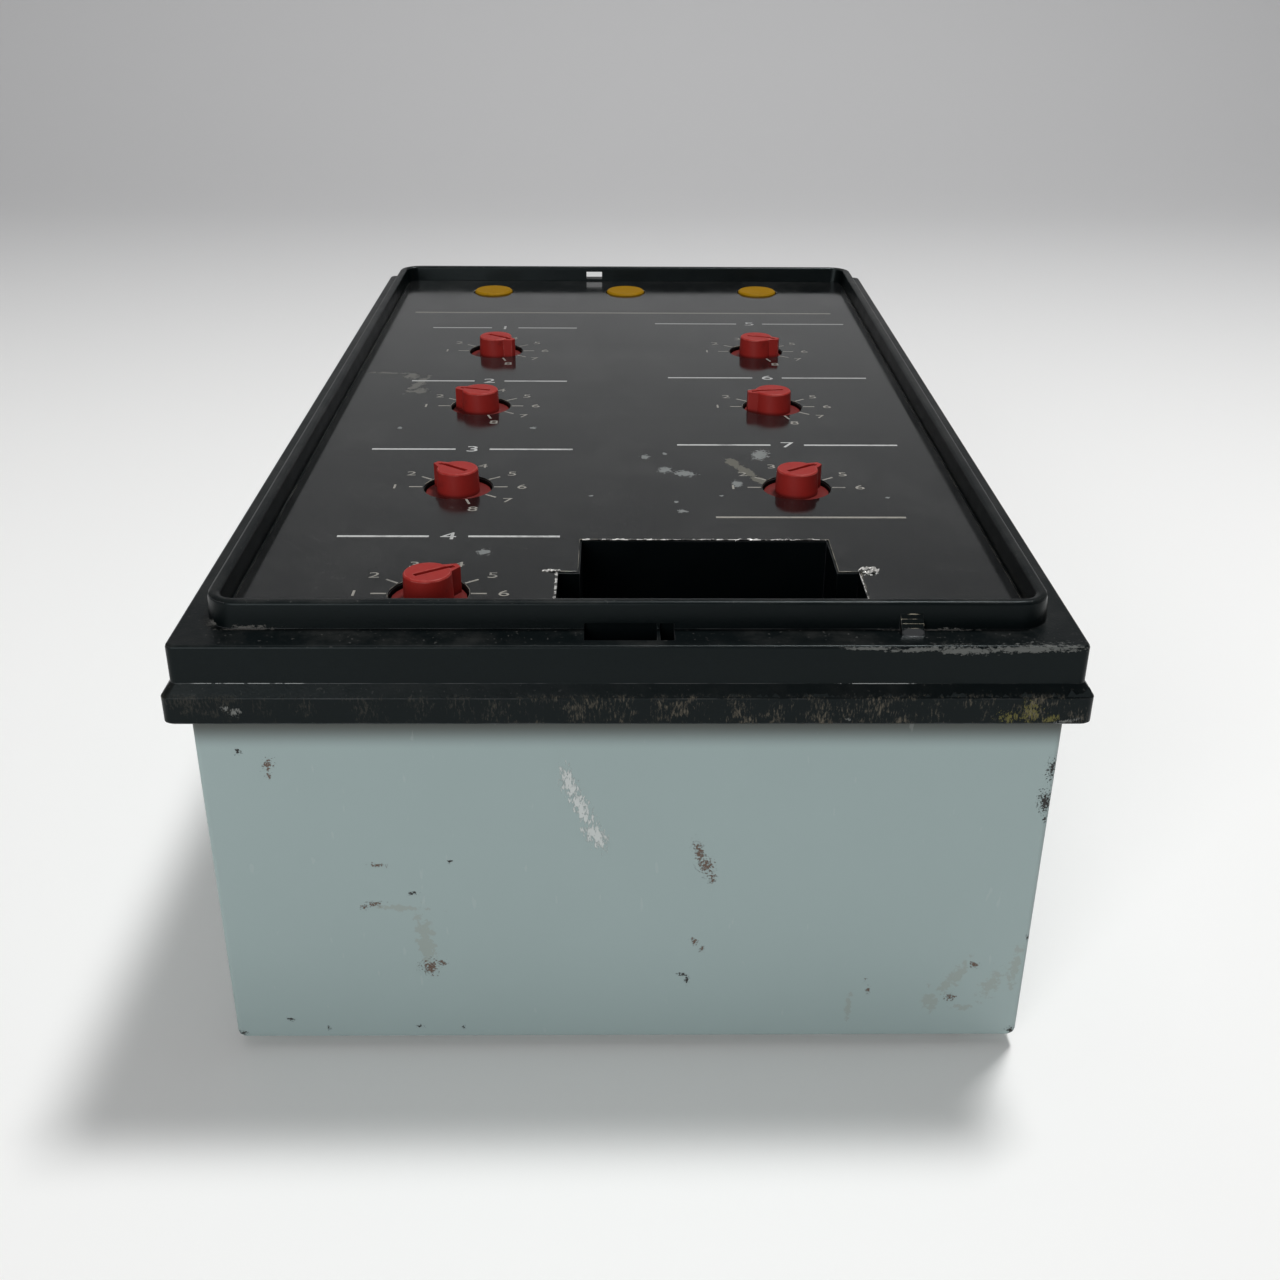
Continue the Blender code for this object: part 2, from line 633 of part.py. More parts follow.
def moulding_cuts():
    """Holes and recesses of the front."""
    through = FLOOR_THICKNESS + 2 * OVERCUT
    below = FLOOR_UNDERSIDE - OVERCUT
    cuts = []
    for x, y, _ in dial_places():
        hole = cylinder(DIAL_HOLE_RADIUS, through, below)
        cuts.append(helper("dial_hole", hole, (x, y, 0)))
    for x, y in target_places():
        hole = cylinder(TARGET_RADIUS + SLIDE_FIT, through, below, TARGET_SEGMENTS)
        cuts.append(helper("target_hole", hole, (x, y, 0)))
    cuts.append(helper("well_space", prism(well_outline(), WELL_FLOOR, FLOOR_TOP + OVERCUT)))
    window_depth = WELL_WALL + 2 * OVERCUT
    window_bottom = WELL_UNDERSIDE - OVERCUT
    window = box(SOCKET_LENGTH + 2 * FIT, SOCKET_WIDTH + 2 * FIT, window_depth, window_bottom)
    cuts.append(helper("socket_window", window, (WELL_CENTRE, (WELL_NEAR + WELL_FAR) / 2, 0)))
    for x, y in column_places():
        depth = STUD_REACH + FIT
        bore = cylinder(STUD_RADIUS + FIT, depth + OVERCUT, SWITCH_BOARD_TOP - OVERCUT, COLUMN_SEGMENTS)
        cuts.append(helper("stud_bore", bore, (x, y, 0)))
    near_face = -RIM_LENGTH / 2 - RIM_DRAFT
    slot_height = LEDGE_SLOT_RISE + LEDGE - below
    slot_length = LEDGE_SLOT_LENGTH + LEDGE_SLOT_INTO_RIM
    slot_middle = near_face + (LEDGE_SLOT_INTO_RIM - LEDGE_SLOT_LENGTH) / 2
    half_slot = LEDGE_SLOT_WIDTH / 2
    half_web = LEDGE_SLOT_WEB / 2
    for start, end in (
        (-half_slot, LEDGE_SLOT_WEB_OFFSET - half_web),
        (LEDGE_SLOT_WEB_OFFSET + half_web, half_slot),
    ):
        slot = box(end - start, slot_length, slot_height, below)
        cuts.append(helper("ledge_slot", slot, ((start + end) / 2, slot_middle, 0)))
    hole = box(RIM_HOLE_WIDTH, RIM_THICKNESS + 2 * OVERCUT, RIM_HOLE_HEIGHT, FLOOR_TOP + RIM_HOLE_RAISE)
    far_wall = RIM_LENGTH / 2 - RIM_THICKNESS / 2
    cuts.append(helper("rim_hole", hole, (-RIM_HOLE_OFFSET, far_wall, 0)))
    return cuts


def front_moulding():
    """The moulded front: one skin for band, shoulder, ledge, rim and panel, with details joined and cut."""
    front = piece("front_moulding", loft(moulding_sections()), "black_moulding")
    join(front, *moulding_additions())
    cut(front, *moulding_cuts())


def outline_spline(curve, points):
    """Add a closed straight-sided outline to a flat curve."""
    spline = curve.splines.new("POLY")
    spline.points.add(len(points) - 1)
    for spot, (x, y) in zip(spline.points, points):
        spot.co = (x, y, 0, 1)
    spline.use_cyclic_u = True


def ring_points(x, y, radius, segments):
    """Points of a circle."""
    turns = [2 * math.pi * step / segments for step in range(segments)]
    return [(x + radius * math.cos(turn), y + radius * math.sin(turn)) for turn in turns]


def flat_plate(name, outlines, thickness):
    """Mesh data of a flat plate: the first outline filled, less the others, centred on z = 0."""
    curve = bpy.data.curves.new(name, "CURVE")
    curve.dimensions = "2D"
    curve.fill_mode = "BOTH"
    curve.extrude = thickness / 2
    for points in outlines:
        outline_spline(curve, points)
    pattern = helper(name + "_outline", curve)
    data = finished_mesh(pattern)
    bpy.data.objects.remove(pattern, do_unlink=True)
    return data


def legend_plate():
    """The glossy film on the panel floor, cut out round the dials, the targets and the well."""
    width = PANEL_WIDTH - 2 * LEGEND_RIM_GAP
    length = PANEL_LENGTH - 2 * LEGEND_RIM_GAP
    outlines = [rounded_rectangle(width, length, RIM_INNER_CORNER - LEGEND_RIM_GAP)]
    for x, y, _ in dial_places():
        outlines.append(ring_points(x, y, DIAL_HOLE_RADIUS + LEGEND_HOLE_MARGIN, DIAL_SEGMENTS))
    for x, y in target_places():
        radius = TARGET_RADIUS + SLIDE_FIT + LEGEND_HOLE_MARGIN
        outlines.append(ring_points(x, y, radius, TARGET_SEGMENTS))
    outlines.append(well_outline(LEGEND_WELL_MARGIN))
    data = flat_plate("legend_plate", outlines, LEGEND_THICKNESS)
    piece("legend_plate", data, "legend_film", (0, 0, LEGEND_BOTTOM + LEGEND_THICKNESS / 2))


def dial_mesh():
    """One dial with its origin on its axis at the legend: skirt, knob, pointer beak, slot and shaft."""
    crown = DIAL_TOP - LEGEND_TOP
    skirt_top = SKIRT_TOP - LEGEND_TOP
    skirt_bottom = SKIRT_BOTTOM - LEGEND_TOP
    shaft_bottom = SHAFT_BOTTOM - LEGEND_TOP
    skirt_radius = DIAL_HOLE_RADIUS - SLIDE_FIT
    profile = [
        (0, crown),
        (DIAL_RADIUS - DIAL_EDGE, crown),
        (DIAL_RADIUS, crown - DIAL_EDGE),
        (DIAL_RADIUS + DIAL_BASE_FLARE, skirt_top),
        (skirt_radius, skirt_top),
        (skirt_radius, skirt_bottom),
        (DIAL_SHAFT_RADIUS, skirt_bottom),
        (DIAL_SHAFT_RADIUS, shaft_bottom),
        (0, shaft_bottom),
    ]
    pattern = turned("dial_pattern", profile, DIAL_SEGMENTS)
    half_root = BEAK_ROOT / 2
    half_tip = BEAK_TIP / 2
    wedge = [(0, -half_root), (BEAK_REACH, -half_tip), (BEAK_REACH, half_tip), (0, half_root)]
    beak = prism(wedge, skirt_top - DIAL_SKIRT / 2, crown - DIAL_EDGE / 2)
    slot = box(DIAL_SLOT_LENGTH, DIAL_SLOT_WIDTH, DIAL_SLOT_DEPTH + OVERCUT, crown - DIAL_SLOT_DEPTH)
    join(pattern, helper("dial_beak", beak))
    cut(pattern, helper("dial_slot", slot, (DIAL_SLOT_SHIFT, 0, 0)))
    data = finished_mesh(pattern)
    shade_round(data)
    return data


def dials():
    """The seven setting dials, each turned to its setting."""
    data = dial_mesh()
    for number, (x, y, angle) in enumerate(dial_places(), 1):
        piece(f"dial_{number}", data, "dial_red", (x, y, LEGEND_TOP), angle)


def rotary_switches():
    """The coding switch under each dial: a square body on feet, with a round socket for the shaft."""
    height = SWITCH_TOP - SWITCH_BOTTOM
    body = helper("switch_pattern", box(SWITCH_SIDE, SWITCH_SIDE, height, 0, SWITCH_CHAMFER))
    socket_floor = SHAFT_BOTTOM - SWITCH_BOTTOM - SWITCH_SOCKET_SPARE
    bore = cylinder(DIAL_SHAFT_RADIUS + SLIDE_FIT, height, socket_floor, COLUMN_SEGMENTS)
    channel = SWITCH_SIDE - 2 * SWITCH_FOOT
    across = box(SWITCH_SIDE + OVERCUT, channel, 2 * SWITCH_FOOT_HEIGHT, -SWITCH_FOOT_HEIGHT)
    along = box(channel, SWITCH_SIDE + OVERCUT, 2 * SWITCH_FOOT_HEIGHT, -SWITCH_FOOT_HEIGHT)
    cut(body, helper("switch_socket", bore))
    cut(body, helper("switch_channel_x", across), helper("switch_channel_y", along))
    data = finished_mesh(body)
    for number, (x, y, _) in enumerate(dial_places(), 1):
        piece(f"rotary_switch_{number}", data, "switch_body", (x, y, SWITCH_BOTTOM))


def target_mesh():
    """One trip target with its origin on its axis at the legend: a round cap on a stem."""
    top = TARGET_TOP - LEGEND_TOP
    underside = TARGET_UNDERSIDE - LEGEND_TOP
    stem_bottom = COIL_TOP - TARGET_STEM_REACH - LEGEND_TOP
    profile = [
        (0, top),
        (TARGET_RADIUS - TARGET_EDGE, top),
        (TARGET_RADIUS, top - TARGET_EDGE),
        (TARGET_RADIUS, underside),
        (TARGET_STEM_RADIUS, underside),
        (TARGET_STEM_RADIUS, stem_bottom),
        (0, stem_bottom),
    ]
    data = finished_mesh(turned("target_pattern", profile, TARGET_SEGMENTS))
    shade_round(data)
    return data


def target_coil_mesh():
    """The latch coil's body, with a bore for the target's stem."""
    height = COIL_TOP - SWITCH_BOTTOM
    body = helper("coil_pattern", box(COIL_SIDE, COIL_SIDE, height, 0, COIL_CHAMFER))
    bore = cylinder(TARGET_STEM_RADIUS + SLIDE_FIT, height + 2 * OVERCUT, -OVERCUT, COLUMN_SEGMENTS)
    cut(body, helper("coil_bore", bore))
    return finished_mesh(body)


def spring_mesh():
    """The pressed spring round the stem: one helix of round wire standing on z = 0."""
    curve = bpy.data.curves.new("target_spring", "CURVE")
    curve.dimensions = "3D"
    curve.bevel_depth = SPRING_WIRE
    curve.bevel_resolution = 1
    curve.use_fill_caps = True
    count = round(SPRING_TURNS * SPRING_POINTS_PER_TURN)
    rise = SPRING_LENGTH - 2 * SPRING_WIRE
    spline = curve.splines.new("POLY")
    spline.points.add(count)
    for step, spot in enumerate(spline.points):
        share = step / count
        turn = 2 * math.pi * SPRING_TURNS * share
        level = SPRING_WIRE + rise * share
        spot.co = (SPRING_RADIUS * math.cos(turn), SPRING_RADIUS * math.sin(turn), level, 1)
    data = finished_mesh(helper("spring_path", curve))
    data.shade_smooth()
    return data


def trip_targets():
    """Targets, latch coils and springs in a row along the far end."""
    cap = target_mesh()
    coil = target_coil_mesh()
    spring = spring_mesh()
    for number, (x, y) in enumerate(target_places(), 1):
        piece(f"trip_target_{number}", cap, "target_yellow", (x, y, LEGEND_TOP))
        piece(f"target_coil_{number}", coil, "switch_body", (x, y, SWITCH_BOTTOM))
        piece(f"target_spring_{number}", spring, "bright_steel", (x, y, COIL_TOP + FIT))


def stud_holes(board, radius, bottom):
    """Cut a clearance hole for each column through a board."""
    for x, y in column_places():
        hole = cylinder(radius + FIT, BOARD_THICKNESS + 2 * OVERCUT, bottom - OVERCUT, COLUMN_SEGMENTS)
        cut(board, helper("board_hole", hole, (x, y, 0)))


def switch_board():
    """The board under the panel, notched at its near edge to clear the well."""
    clear = WELL_WALL + BOARD_WELL_GAP
    left = WELL_CENTRE - WELL_WIDE / 2 - clear
    right = WELL_CENTRE + WELL_WIDE / 2 + clear
    notch_end = WELL_FAR + clear
    half_width = BOARD_WIDTH / 2
    half_length = BOARD_LENGTH / 2
    outline = [
        (half_width, -half_length),
        (half_width, half_length),
        (-half_width, half_length),
        (-half_width, -half_length),
        (left, -half_length),
        (left, notch_end),
        (right, notch_end),
        (right, -half_length),
    ]
    board = piece("switch_board", prism(outline, SWITCH_BOARD_BOTTOM, SWITCH_BOARD_TOP), "board_green")
    stud_holes(board, STUD_RADIUS, SWITCH_BOARD_BOTTOM)


def main_board():
    """The board near the can's back, which carries the electronics and the rear connector."""
    sheet = box(BOARD_WIDTH, BOARD_LENGTH, BOARD_THICKNESS, MAIN_BOARD_BOTTOM)
    board = piece("main_board", sheet, "board_green")
    stud_holes(board, SCREW_RADIUS, MAIN_BOARD_BOTTOM)


def plug_socket():
    """The contact block in the well's floor, on a plate under it, with a row of contact slots."""
    plate_top = WELL_UNDERSIDE - FIT
    plate_bottom = plate_top - SOCKET_PLATE
    top = WELL_FLOOR + SOCKET_STAND
    middle = (WELL_CENTRE, (WELL_NEAR + WELL_FAR) / 2, 0)
    plate = box(SOCKET_PLATE_LENGTH, SOCKET_PLATE_WIDTH, SOCKET_PLATE, plate_bottom)
    socket = piece("plug_socket", plate, "socket_body", middle)
    block_bottom = plate_bottom + SOCKET_PLATE / 2
    block = box(SOCKET_LENGTH, SOCKET_WIDTH, top - block_bottom, block_bottom)
    first = -SOCKET_PITCH * (SOCKET_SLOTS - 1) / 2
    places = [(first + slot * SOCKET_PITCH, 0) for slot in range(SOCKET_SLOTS)]
    depth = SOCKET_SLOT_DEPTH + OVERCUT
    slots = box_grid(SOCKET_SLOT_LENGTH, SOCKET_SLOT_WIDTH, depth, places, top - SOCKET_SLOT_DEPTH)
    join(socket, helper("socket_block", block, middle))
    cut(socket, helper("socket_slots", slots, middle))


def connector_block(height, grow, bottom):
    """The rear connector's plan as a block, grown on every side."""
    return box(CONNECTOR_LENGTH + 2 * grow, CONNECTOR_WIDTH + 2 * grow, height, bottom, CONNECTOR_CHAMFER)


def rear_connector():
    """The plug-in connector under the main board, flush in the can's back, with two rows of contacts."""
    bottom = CAN_BACK + FIT
    block = connector_block(MAIN_BOARD_BOTTOM - FIT - bottom, 0, bottom)
    connector = piece("rear_connector", block, "socket_body")
    first = -CONTACT_PITCH * (CONNECTOR_CONTACTS - 1) / 2
    columns = [first + contact * CONTACT_PITCH for contact in range(CONNECTOR_CONTACTS)]
    places = [(x, side * CONTACT_ROW_PITCH / 2) for x in columns for side in (-1, 1)]
    depth = CONTACT_DEPTH + OVERCUT
    contacts = box_grid(CONTACT_SIDE, CONTACT_SIDE, depth, places, bottom - OVERCUT)
    cut(connector, helper("connector_contacts", contacts))


def guide_bushes():
    """A collared bush in the can's back at each end of the connector."""
    bottom = CAN_BACK + FIT
    collar = CAN_FLOOR + FIT
    profile = [
        (GUIDE_BORE, bottom + GUIDE_LENGTH),
        (GUIDE_RADIUS, bottom + GUIDE_LENGTH),
        (GUIDE_RADIUS, collar + GUIDE_COLLAR_HEIGHT),
        (GUIDE_COLLAR, collar + GUIDE_COLLAR_HEIGHT),
        (GUIDE_COLLAR, collar),
        (GUIDE_RADIUS, collar),
        (GUIDE_RADIUS, bottom),
        (GUIDE_BORE, bottom),
        (GUIDE_BORE, bottom + GUIDE_LENGTH),
    ]
    data = finished_mesh(turned("guide_pattern", profile, COLUMN_SEGMENTS))
    shade_round(data)
    for number, side in enumerate((-1, 1), 1):
        piece(f"guide_bush_{number}", data, "brass", (side * GUIDE_OFFSET, 0, 0))


def case_screw_mesh():
    """A long screw standing on its round head, from z = 0 up into the standoff."""
    tip = MAIN_BOARD_TOP + SCREW_GRIP
    profile = [
        (0, tip),
        (SCREW_RADIUS, tip),
        (SCREW_RADIUS, SCREW_HEAD),
        (SCREW_HEAD_RADIUS, SCREW_HEAD),
        (SCREW_HEAD_RADIUS, SCREW_HEAD_ROUND),
        (SCREW_HEAD_RADIUS - SCREW_HEAD_ROUND, 0),
        (0, 0),
    ]
    data = finished_mesh(turned("screw_pattern", profile, COLUMN_SEGMENTS))
    shade_round(data)
    return data


def spacer_mesh():
    """A plain sleeve between the can's floor and the main board."""
    bottom = CAN_FLOOR + FIT
    bore = SCREW_RADIUS + FIT
    profile = [
        (bore, bottom + SPACER_LENGTH),
        (SPACER_RADIUS, bottom + SPACER_LENGTH),
        (SPACER_RADIUS, bottom),
        (bore, bottom),
        (bore, bottom + SPACER_LENGTH),
    ]
    return finished_mesh(turned("spacer_pattern", profile, COLUMN_SEGMENTS))


def standoff_mesh():
    """A six-sided standoff between the boards, bored for the case screw below and with a stud above."""
    bottom = MAIN_BOARD_TOP + FIT
    top = SWITCH_BOARD_BOTTOM - FIT
    body = helper("standoff_pattern", cylinder(STANDOFF_RADIUS, top - bottom, bottom, 6))
    stud_bottom = top - OVERCUT
    stud_top = SWITCH_BOARD_TOP + STUD_REACH - FIT
    stud = cylinder(STUD_RADIUS, stud_top - stud_bottom, stud_bottom, COLUMN_SEGMENTS)
    bore = cylinder(SCREW_RADIUS + FIT, SCREW_GRIP + FIT + OVERCUT, bottom - OVERCUT, COLUMN_SEGMENTS)
    join(body, helper("standoff_stud", stud))
    cut(body, helper("standoff_bore", bore))
    return finished_mesh(body)


def columns():
    """The four clamping columns, each a case screw, a spacer and a standoff."""
    screw = case_screw_mesh()
    spacer = spacer_mesh()
    standoff = standoff_mesh()
    for number, (x, y) in enumerate(column_places(), 1):
        piece(f"case_screw_{number}", screw, "bright_steel", (x, y, 0))
        piece(f"board_spacer_{number}", spacer, "brass", (x, y, 0))
        piece(f"standoff_{number}", standoff, "brass", (x, y, 0))


def transformers():
    """The sensing transformers: a winding through a laminated core."""
    base = MAIN_BOARD_TOP + FIT
    pattern = helper("transformer_pattern", box(TRANSFORMER_WIDTH, TRANSFORMER_CORE, TRANSFORMER_HEIGHT))
    low = (TRANSFORMER_HEIGHT - TRANSFORMER_WINDING_HEIGHT) / 2
    radius = TRANSFORMER_WINDING / 6
    section = (TRANSFORMER_WINDING, TRANSFORMER_WINDING_DEPTH, radius)
    winding = loft([(*section, low), (*section, low + TRANSFORMER_WINDING_HEIGHT)])
    join(pattern, helper("transformer_winding", winding))
    data = finished_mesh(pattern)
    pitch = BOARD_WIDTH / 2 - TRANSFORMER_EDGE
    for number, side in enumerate((-1, 0, 1), 1):
        place = (side * pitch, TRANSFORMER_ROW, base)
        piece(f"sensing_transformer_{number}", data, "core_steel", place)


def capacitors():
    """The reservoir capacitors: sleeved cans with a rolled groove near the foot."""
    groove = 3 * CAPACITOR_GROOVE
    profile = [
        (0, CAPACITOR_HEIGHT),
        (CAPACITOR_RADIUS - CAPACITOR_GROOVE, CAPACITOR_HEIGHT),
        (CAPACITOR_RADIUS, CAPACITOR_HEIGHT - CAPACITOR_GROOVE),
        (CAPACITOR_RADIUS, groove + CAPACITOR_GROOVE),
        (CAPACITOR_RADIUS - CAPACITOR_GROOVE, groove),
        (CAPACITOR_RADIUS, groove - CAPACITOR_GROOVE),
        (CAPACITOR_RADIUS, 0),
        (0, 0),
    ]
    data = finished_mesh(turned("capacitor_pattern", profile, COLUMN_SEGMENTS))
    shade_round(data)
    for number, side in enumerate((-1, 1), 1):
        place = (side * CAPACITOR_SPACING, CAPACITOR_ROW, MAIN_BOARD_TOP + FIT)
        piece(f"reservoir_capacitor_{number}", data, "capacitor_sleeve", place)


def processor_chip():
    """The processor: a flat package with a row of legs along each long side."""
    base = MAIN_BOARD_TOP + FIT
    body = box(CHIP_LENGTH, CHIP_WIDTH, CHIP_HEIGHT, base)
    chip = piece("processor_chip", body, "switch_body", (0, CHIP_ROW, 0))
    pitch = CHIP_LENGTH / CHIP_LEGS
    first = -pitch * (CHIP_LEGS - 1) / 2
    places = [(first + leg * pitch, 0) for leg in range(CHIP_LEGS)]
    span = CHIP_WIDTH + 2 * CHIP_LEG_REACH
    middle = base + (CHIP_HEIGHT - CHIP_LEG_THICKNESS) / 2
    legs = box_grid(CHIP_LEG_WIDTH, span, CHIP_LEG_THICKNESS, places, middle)
    join(chip, helper("chip_legs", legs, (0, CHIP_ROW, 0)))


def board_link():
    """The headers on the two boards and the ribbon between them, bowed to take up its slack."""
    upper_bottom = SWITCH_BOARD_BOTTOM - FIT - HEADER_HEIGHT
    lower_bottom = MAIN_BOARD_TOP + FIT
    for number, bottom in enumerate((upper_bottom, lower_bottom), 1):
        header = box(HEADER_LENGTH, HEADER_WIDTH, HEADER_HEIGHT)
        piece(f"board_header_{number}", header, "socket_body", (0, HEADER_ROW, bottom))
    low = lower_bottom + HEADER_HEIGHT + FIT
    high = upper_bottom - FIT
    shape = bmesh.new()
    points = []
    for step in range(RIBBON_STEPS + 1):
        share = step / RIBBON_STEPS
        bow = RIBBON_BULGE * (1 - math.cos(2 * math.pi * share)) / 2
        points.append(shape.verts.new((-RIBBON_WIDTH / 2, bow, low + (high - low) * share)))
    run = [shape.edges.new(pair) for pair in zip(points, points[1:])]
    swept = bmesh.ops.extrude_edge_only(shape, edges=run)["geom"]
    moved = [v for v in swept if isinstance(v, bmesh.types.BMVert)]
    bmesh.ops.translate(shape, verts=moved, vec=(RIBBON_WIDTH, 0, 0))
    ribbon = piece("ribbon_cable", mesh_of("ribbon_cable", shape), "ribbon_grey", (0, HEADER_ROW, 0))
    wall = ribbon.modifiers.new("thickness", "SOLIDIFY")
    wall.thickness = RIBBON_THICKNESS
    wall.offset = 0.0


def build():
    """Make every piece of the trip unit."""
    enclosure_can()
    front_moulding()
    legend_plate()
    dials()
    rotary_switches()
    trip_targets()
    switch_board()
    main_board()
    plug_socket()
    rear_connector()
    guide_bushes()
    columns()
    transformers()
    capacitors()
    processor_chip()
    board_link()


build()
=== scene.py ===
"""Looks of the electronic trip unit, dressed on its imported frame.

Each sub-assembly is a class that holds its sizes and builds and dresses its own pieces. Lengths are in metres,
except in worn places, which are in millimetres. All places are in the frame's own axes: X across the front,
Y away from the well, Z up.
"""

import logging
import math
import random
from collections.abc import Mapping
from dataclasses import dataclass, field
from enum import Enum
from functools import partial, reduce

import bmesh
import bpy
from mathutils import Matrix, Vector


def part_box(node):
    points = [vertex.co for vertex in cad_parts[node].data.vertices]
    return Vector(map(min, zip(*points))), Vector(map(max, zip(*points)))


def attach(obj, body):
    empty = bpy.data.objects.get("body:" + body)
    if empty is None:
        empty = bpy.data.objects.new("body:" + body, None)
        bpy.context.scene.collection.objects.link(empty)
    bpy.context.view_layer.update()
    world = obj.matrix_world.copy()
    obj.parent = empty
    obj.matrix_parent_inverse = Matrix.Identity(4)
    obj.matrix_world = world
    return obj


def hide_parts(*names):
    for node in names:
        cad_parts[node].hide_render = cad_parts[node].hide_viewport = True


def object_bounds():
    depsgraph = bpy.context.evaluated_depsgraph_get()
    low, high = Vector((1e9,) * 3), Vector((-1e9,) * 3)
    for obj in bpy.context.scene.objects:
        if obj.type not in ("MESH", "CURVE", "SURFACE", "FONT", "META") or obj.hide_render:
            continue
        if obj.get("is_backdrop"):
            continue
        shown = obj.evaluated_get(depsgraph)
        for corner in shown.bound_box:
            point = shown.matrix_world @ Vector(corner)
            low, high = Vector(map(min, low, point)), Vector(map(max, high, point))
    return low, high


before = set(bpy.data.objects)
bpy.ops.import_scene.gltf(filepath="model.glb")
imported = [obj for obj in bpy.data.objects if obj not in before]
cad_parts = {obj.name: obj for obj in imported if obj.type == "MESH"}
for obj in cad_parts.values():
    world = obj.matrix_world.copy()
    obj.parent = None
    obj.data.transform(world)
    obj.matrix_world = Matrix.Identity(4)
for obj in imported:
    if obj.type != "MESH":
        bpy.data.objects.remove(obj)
CAD_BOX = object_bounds()

LOG = logging.getLogger("trip_unit")
MM = 0.001
CASE = "case"
SOFT_EDGE = "soft_edge"
CLOUD_MEAN = 0.5
SPOT_DEPTH = 2.0
PANEL_LEVEL = 79.2
CAN_FACE = -118.75
WALL_FACE = -120.45
BAND_FACE = -121.55

Colour = tuple[float, float, float]
Point = tuple[float, float, float]
Row = tuple[float, float, float, float, float]
Flat = tuple[float, float]
Socket = bpy.types.NodeSocket
Node = bpy.types.Node
Feed = Socket | float | tuple[float, ...]
Feeds = dict[str | int, Feed]
Given = Mapping[str, Socket]
Mesh = bmesh.types.BMesh
EVEN: Point = (1.0, 1.0, 1.0)


class Facing(Enum):
    """The axis that a worn face looks along, about which its marks are turned."""

    NEAR = (0.0, 1.0, 0.0)
    UP = (0.0, 0.0, 1.0)


class Sums(Enum):
    """How two values are combined in a shader."""

    ADD = "ADD"
    SUBTRACT = "SUBTRACT"
    MULTIPLY = "MULTIPLY"
    DIVIDE = "DIVIDE"
    MAXIMUM = "MAXIMUM"


class Graph:
    """Adds nodes to one shader tree and links them."""

    def __init__(self, tree: bpy.types.NodeTree) -> None:
        """Keep the tree that the nodes go into."""
        self.tree = tree

    def feed(self, socket: Socket, value: Feed) -> None:
        """Link a socket, or set a plain value on it.

        Args:
            socket: The input that takes the value.
            value: Another node's output, a number, a vector or a colour.
        """
        if isinstance(value, Socket):
            self.tree.links.new(value, socket)
        elif isinstance(value, tuple) and len(value) == 3 and socket.type == "RGBA":
            socket.default_value = (*value, 1.0)
        else:
            socket.default_value = value

    def node(self, kind: str, feeds: Feeds | None = None, **settings: object) -> Node:
        """Add a node.

        Args:
            kind: The node's type name.
            feeds: Values for its inputs, by name or number.
            **settings: Attributes that are set on the node.

        Returns:
            The new node.
        """
        made = self.tree.nodes.new(kind)
        for key, value in settings.items():
            setattr(made, key, value)
        for key, value in (feeds or {}).items():
            self.feed(made.inputs[key], value)
        return made

    def effect(self, effect: type["Effect"], **feeds: Feed) -> Node:
        """Place a shared effect, with its own values."""
        return self.node("ShaderNodeGroup", feeds, node_tree=effect.group())

    def sums(self, how: Sums, first: Feed, second: Feed) -> Socket:
        """Two numbers combined."""
        return self.node("ShaderNodeMath", {0: first, 1: second}, operation=how.value).outputs[0]

    def vector(self, how: Sums, first: Feed, second: Feed) -> Socket:
        """Two vectors combined, axis by axis."""
        return self.node("ShaderNodeVectorMath", {0: first, 1: second}, operation=how.value).outputs[0]

    def times(self, *values: Feed) -> Socket:
        """The product of some numbers."""
        return reduce(partial(self.sums, Sums.MULTIPLY), values)

    def larger(self, *values: Feed) -> Socket:
        """The largest of some numbers."""
        return reduce(partial(self.sums, Sums.MAXIMUM), values)

    def swing(self, cloud: Feed, amount: Feed) -> Socket:
        """A cloudy value moved to lie about 0, and scaled."""
        return self.times(self.sums(Sums.SUBTRACT, cloud, CLOUD_MEAN), amount)

    def noise(self, place: Feed, scale: Feed, detail: float = 2.0, rough: float = 0.5) -> Socket:
        """A value from 0 to 1, with a number of clouds in a metre and layers of finer ones."""
        feeds = {"Vector": place, "Scale": scale, "Detail": detail, "Roughness": rough}
        return self.node("ShaderNodeTexNoise", feeds).outputs[0]

    def ramp(self, value: Feed, low: Feed, high: Feed, start: Feed = 0.0, end: Feed = 1.0) -> Socket:
        """Turn values from low to high into ones from start to end, smoothly and held at the ends."""
        feeds = {"Value": value, "From Min": low, "From Max": high, "To Min": start, "To Max": end}
        return self.node("ShaderNodeMapRange", feeds, interpolation_type="SMOOTHSTEP").outputs[0]

    def blend(self, share: Feed, first: Feed, second: Feed) -> Socket:
        """A colour between two others, the first one at a share of 0."""
        return self.node("ShaderNodeMix", {0: share, 6: first, 7: second}, data_type="RGBA").outputs[2]

    def layered(self, colour: Feed, *layers: tuple[Feed, float, Colour]) -> Feed:
        """Lay colours over a first one.

        Args:
            colour: The first colour.
            *layers: Each one's mask, the share of it that shows, and its colour.

        Returns:
            The colour on top.
        """
        for mask, share, tint in layers:
            colour = self.blend(self.times(mask, share), colour, tint)
        return colour

    def axis(self, place: Feed, letter: str) -> Socket:
        """One coordinate of a place."""
        return self.node("ShaderNodeSeparateXYZ", {0: place}).outputs[letter]


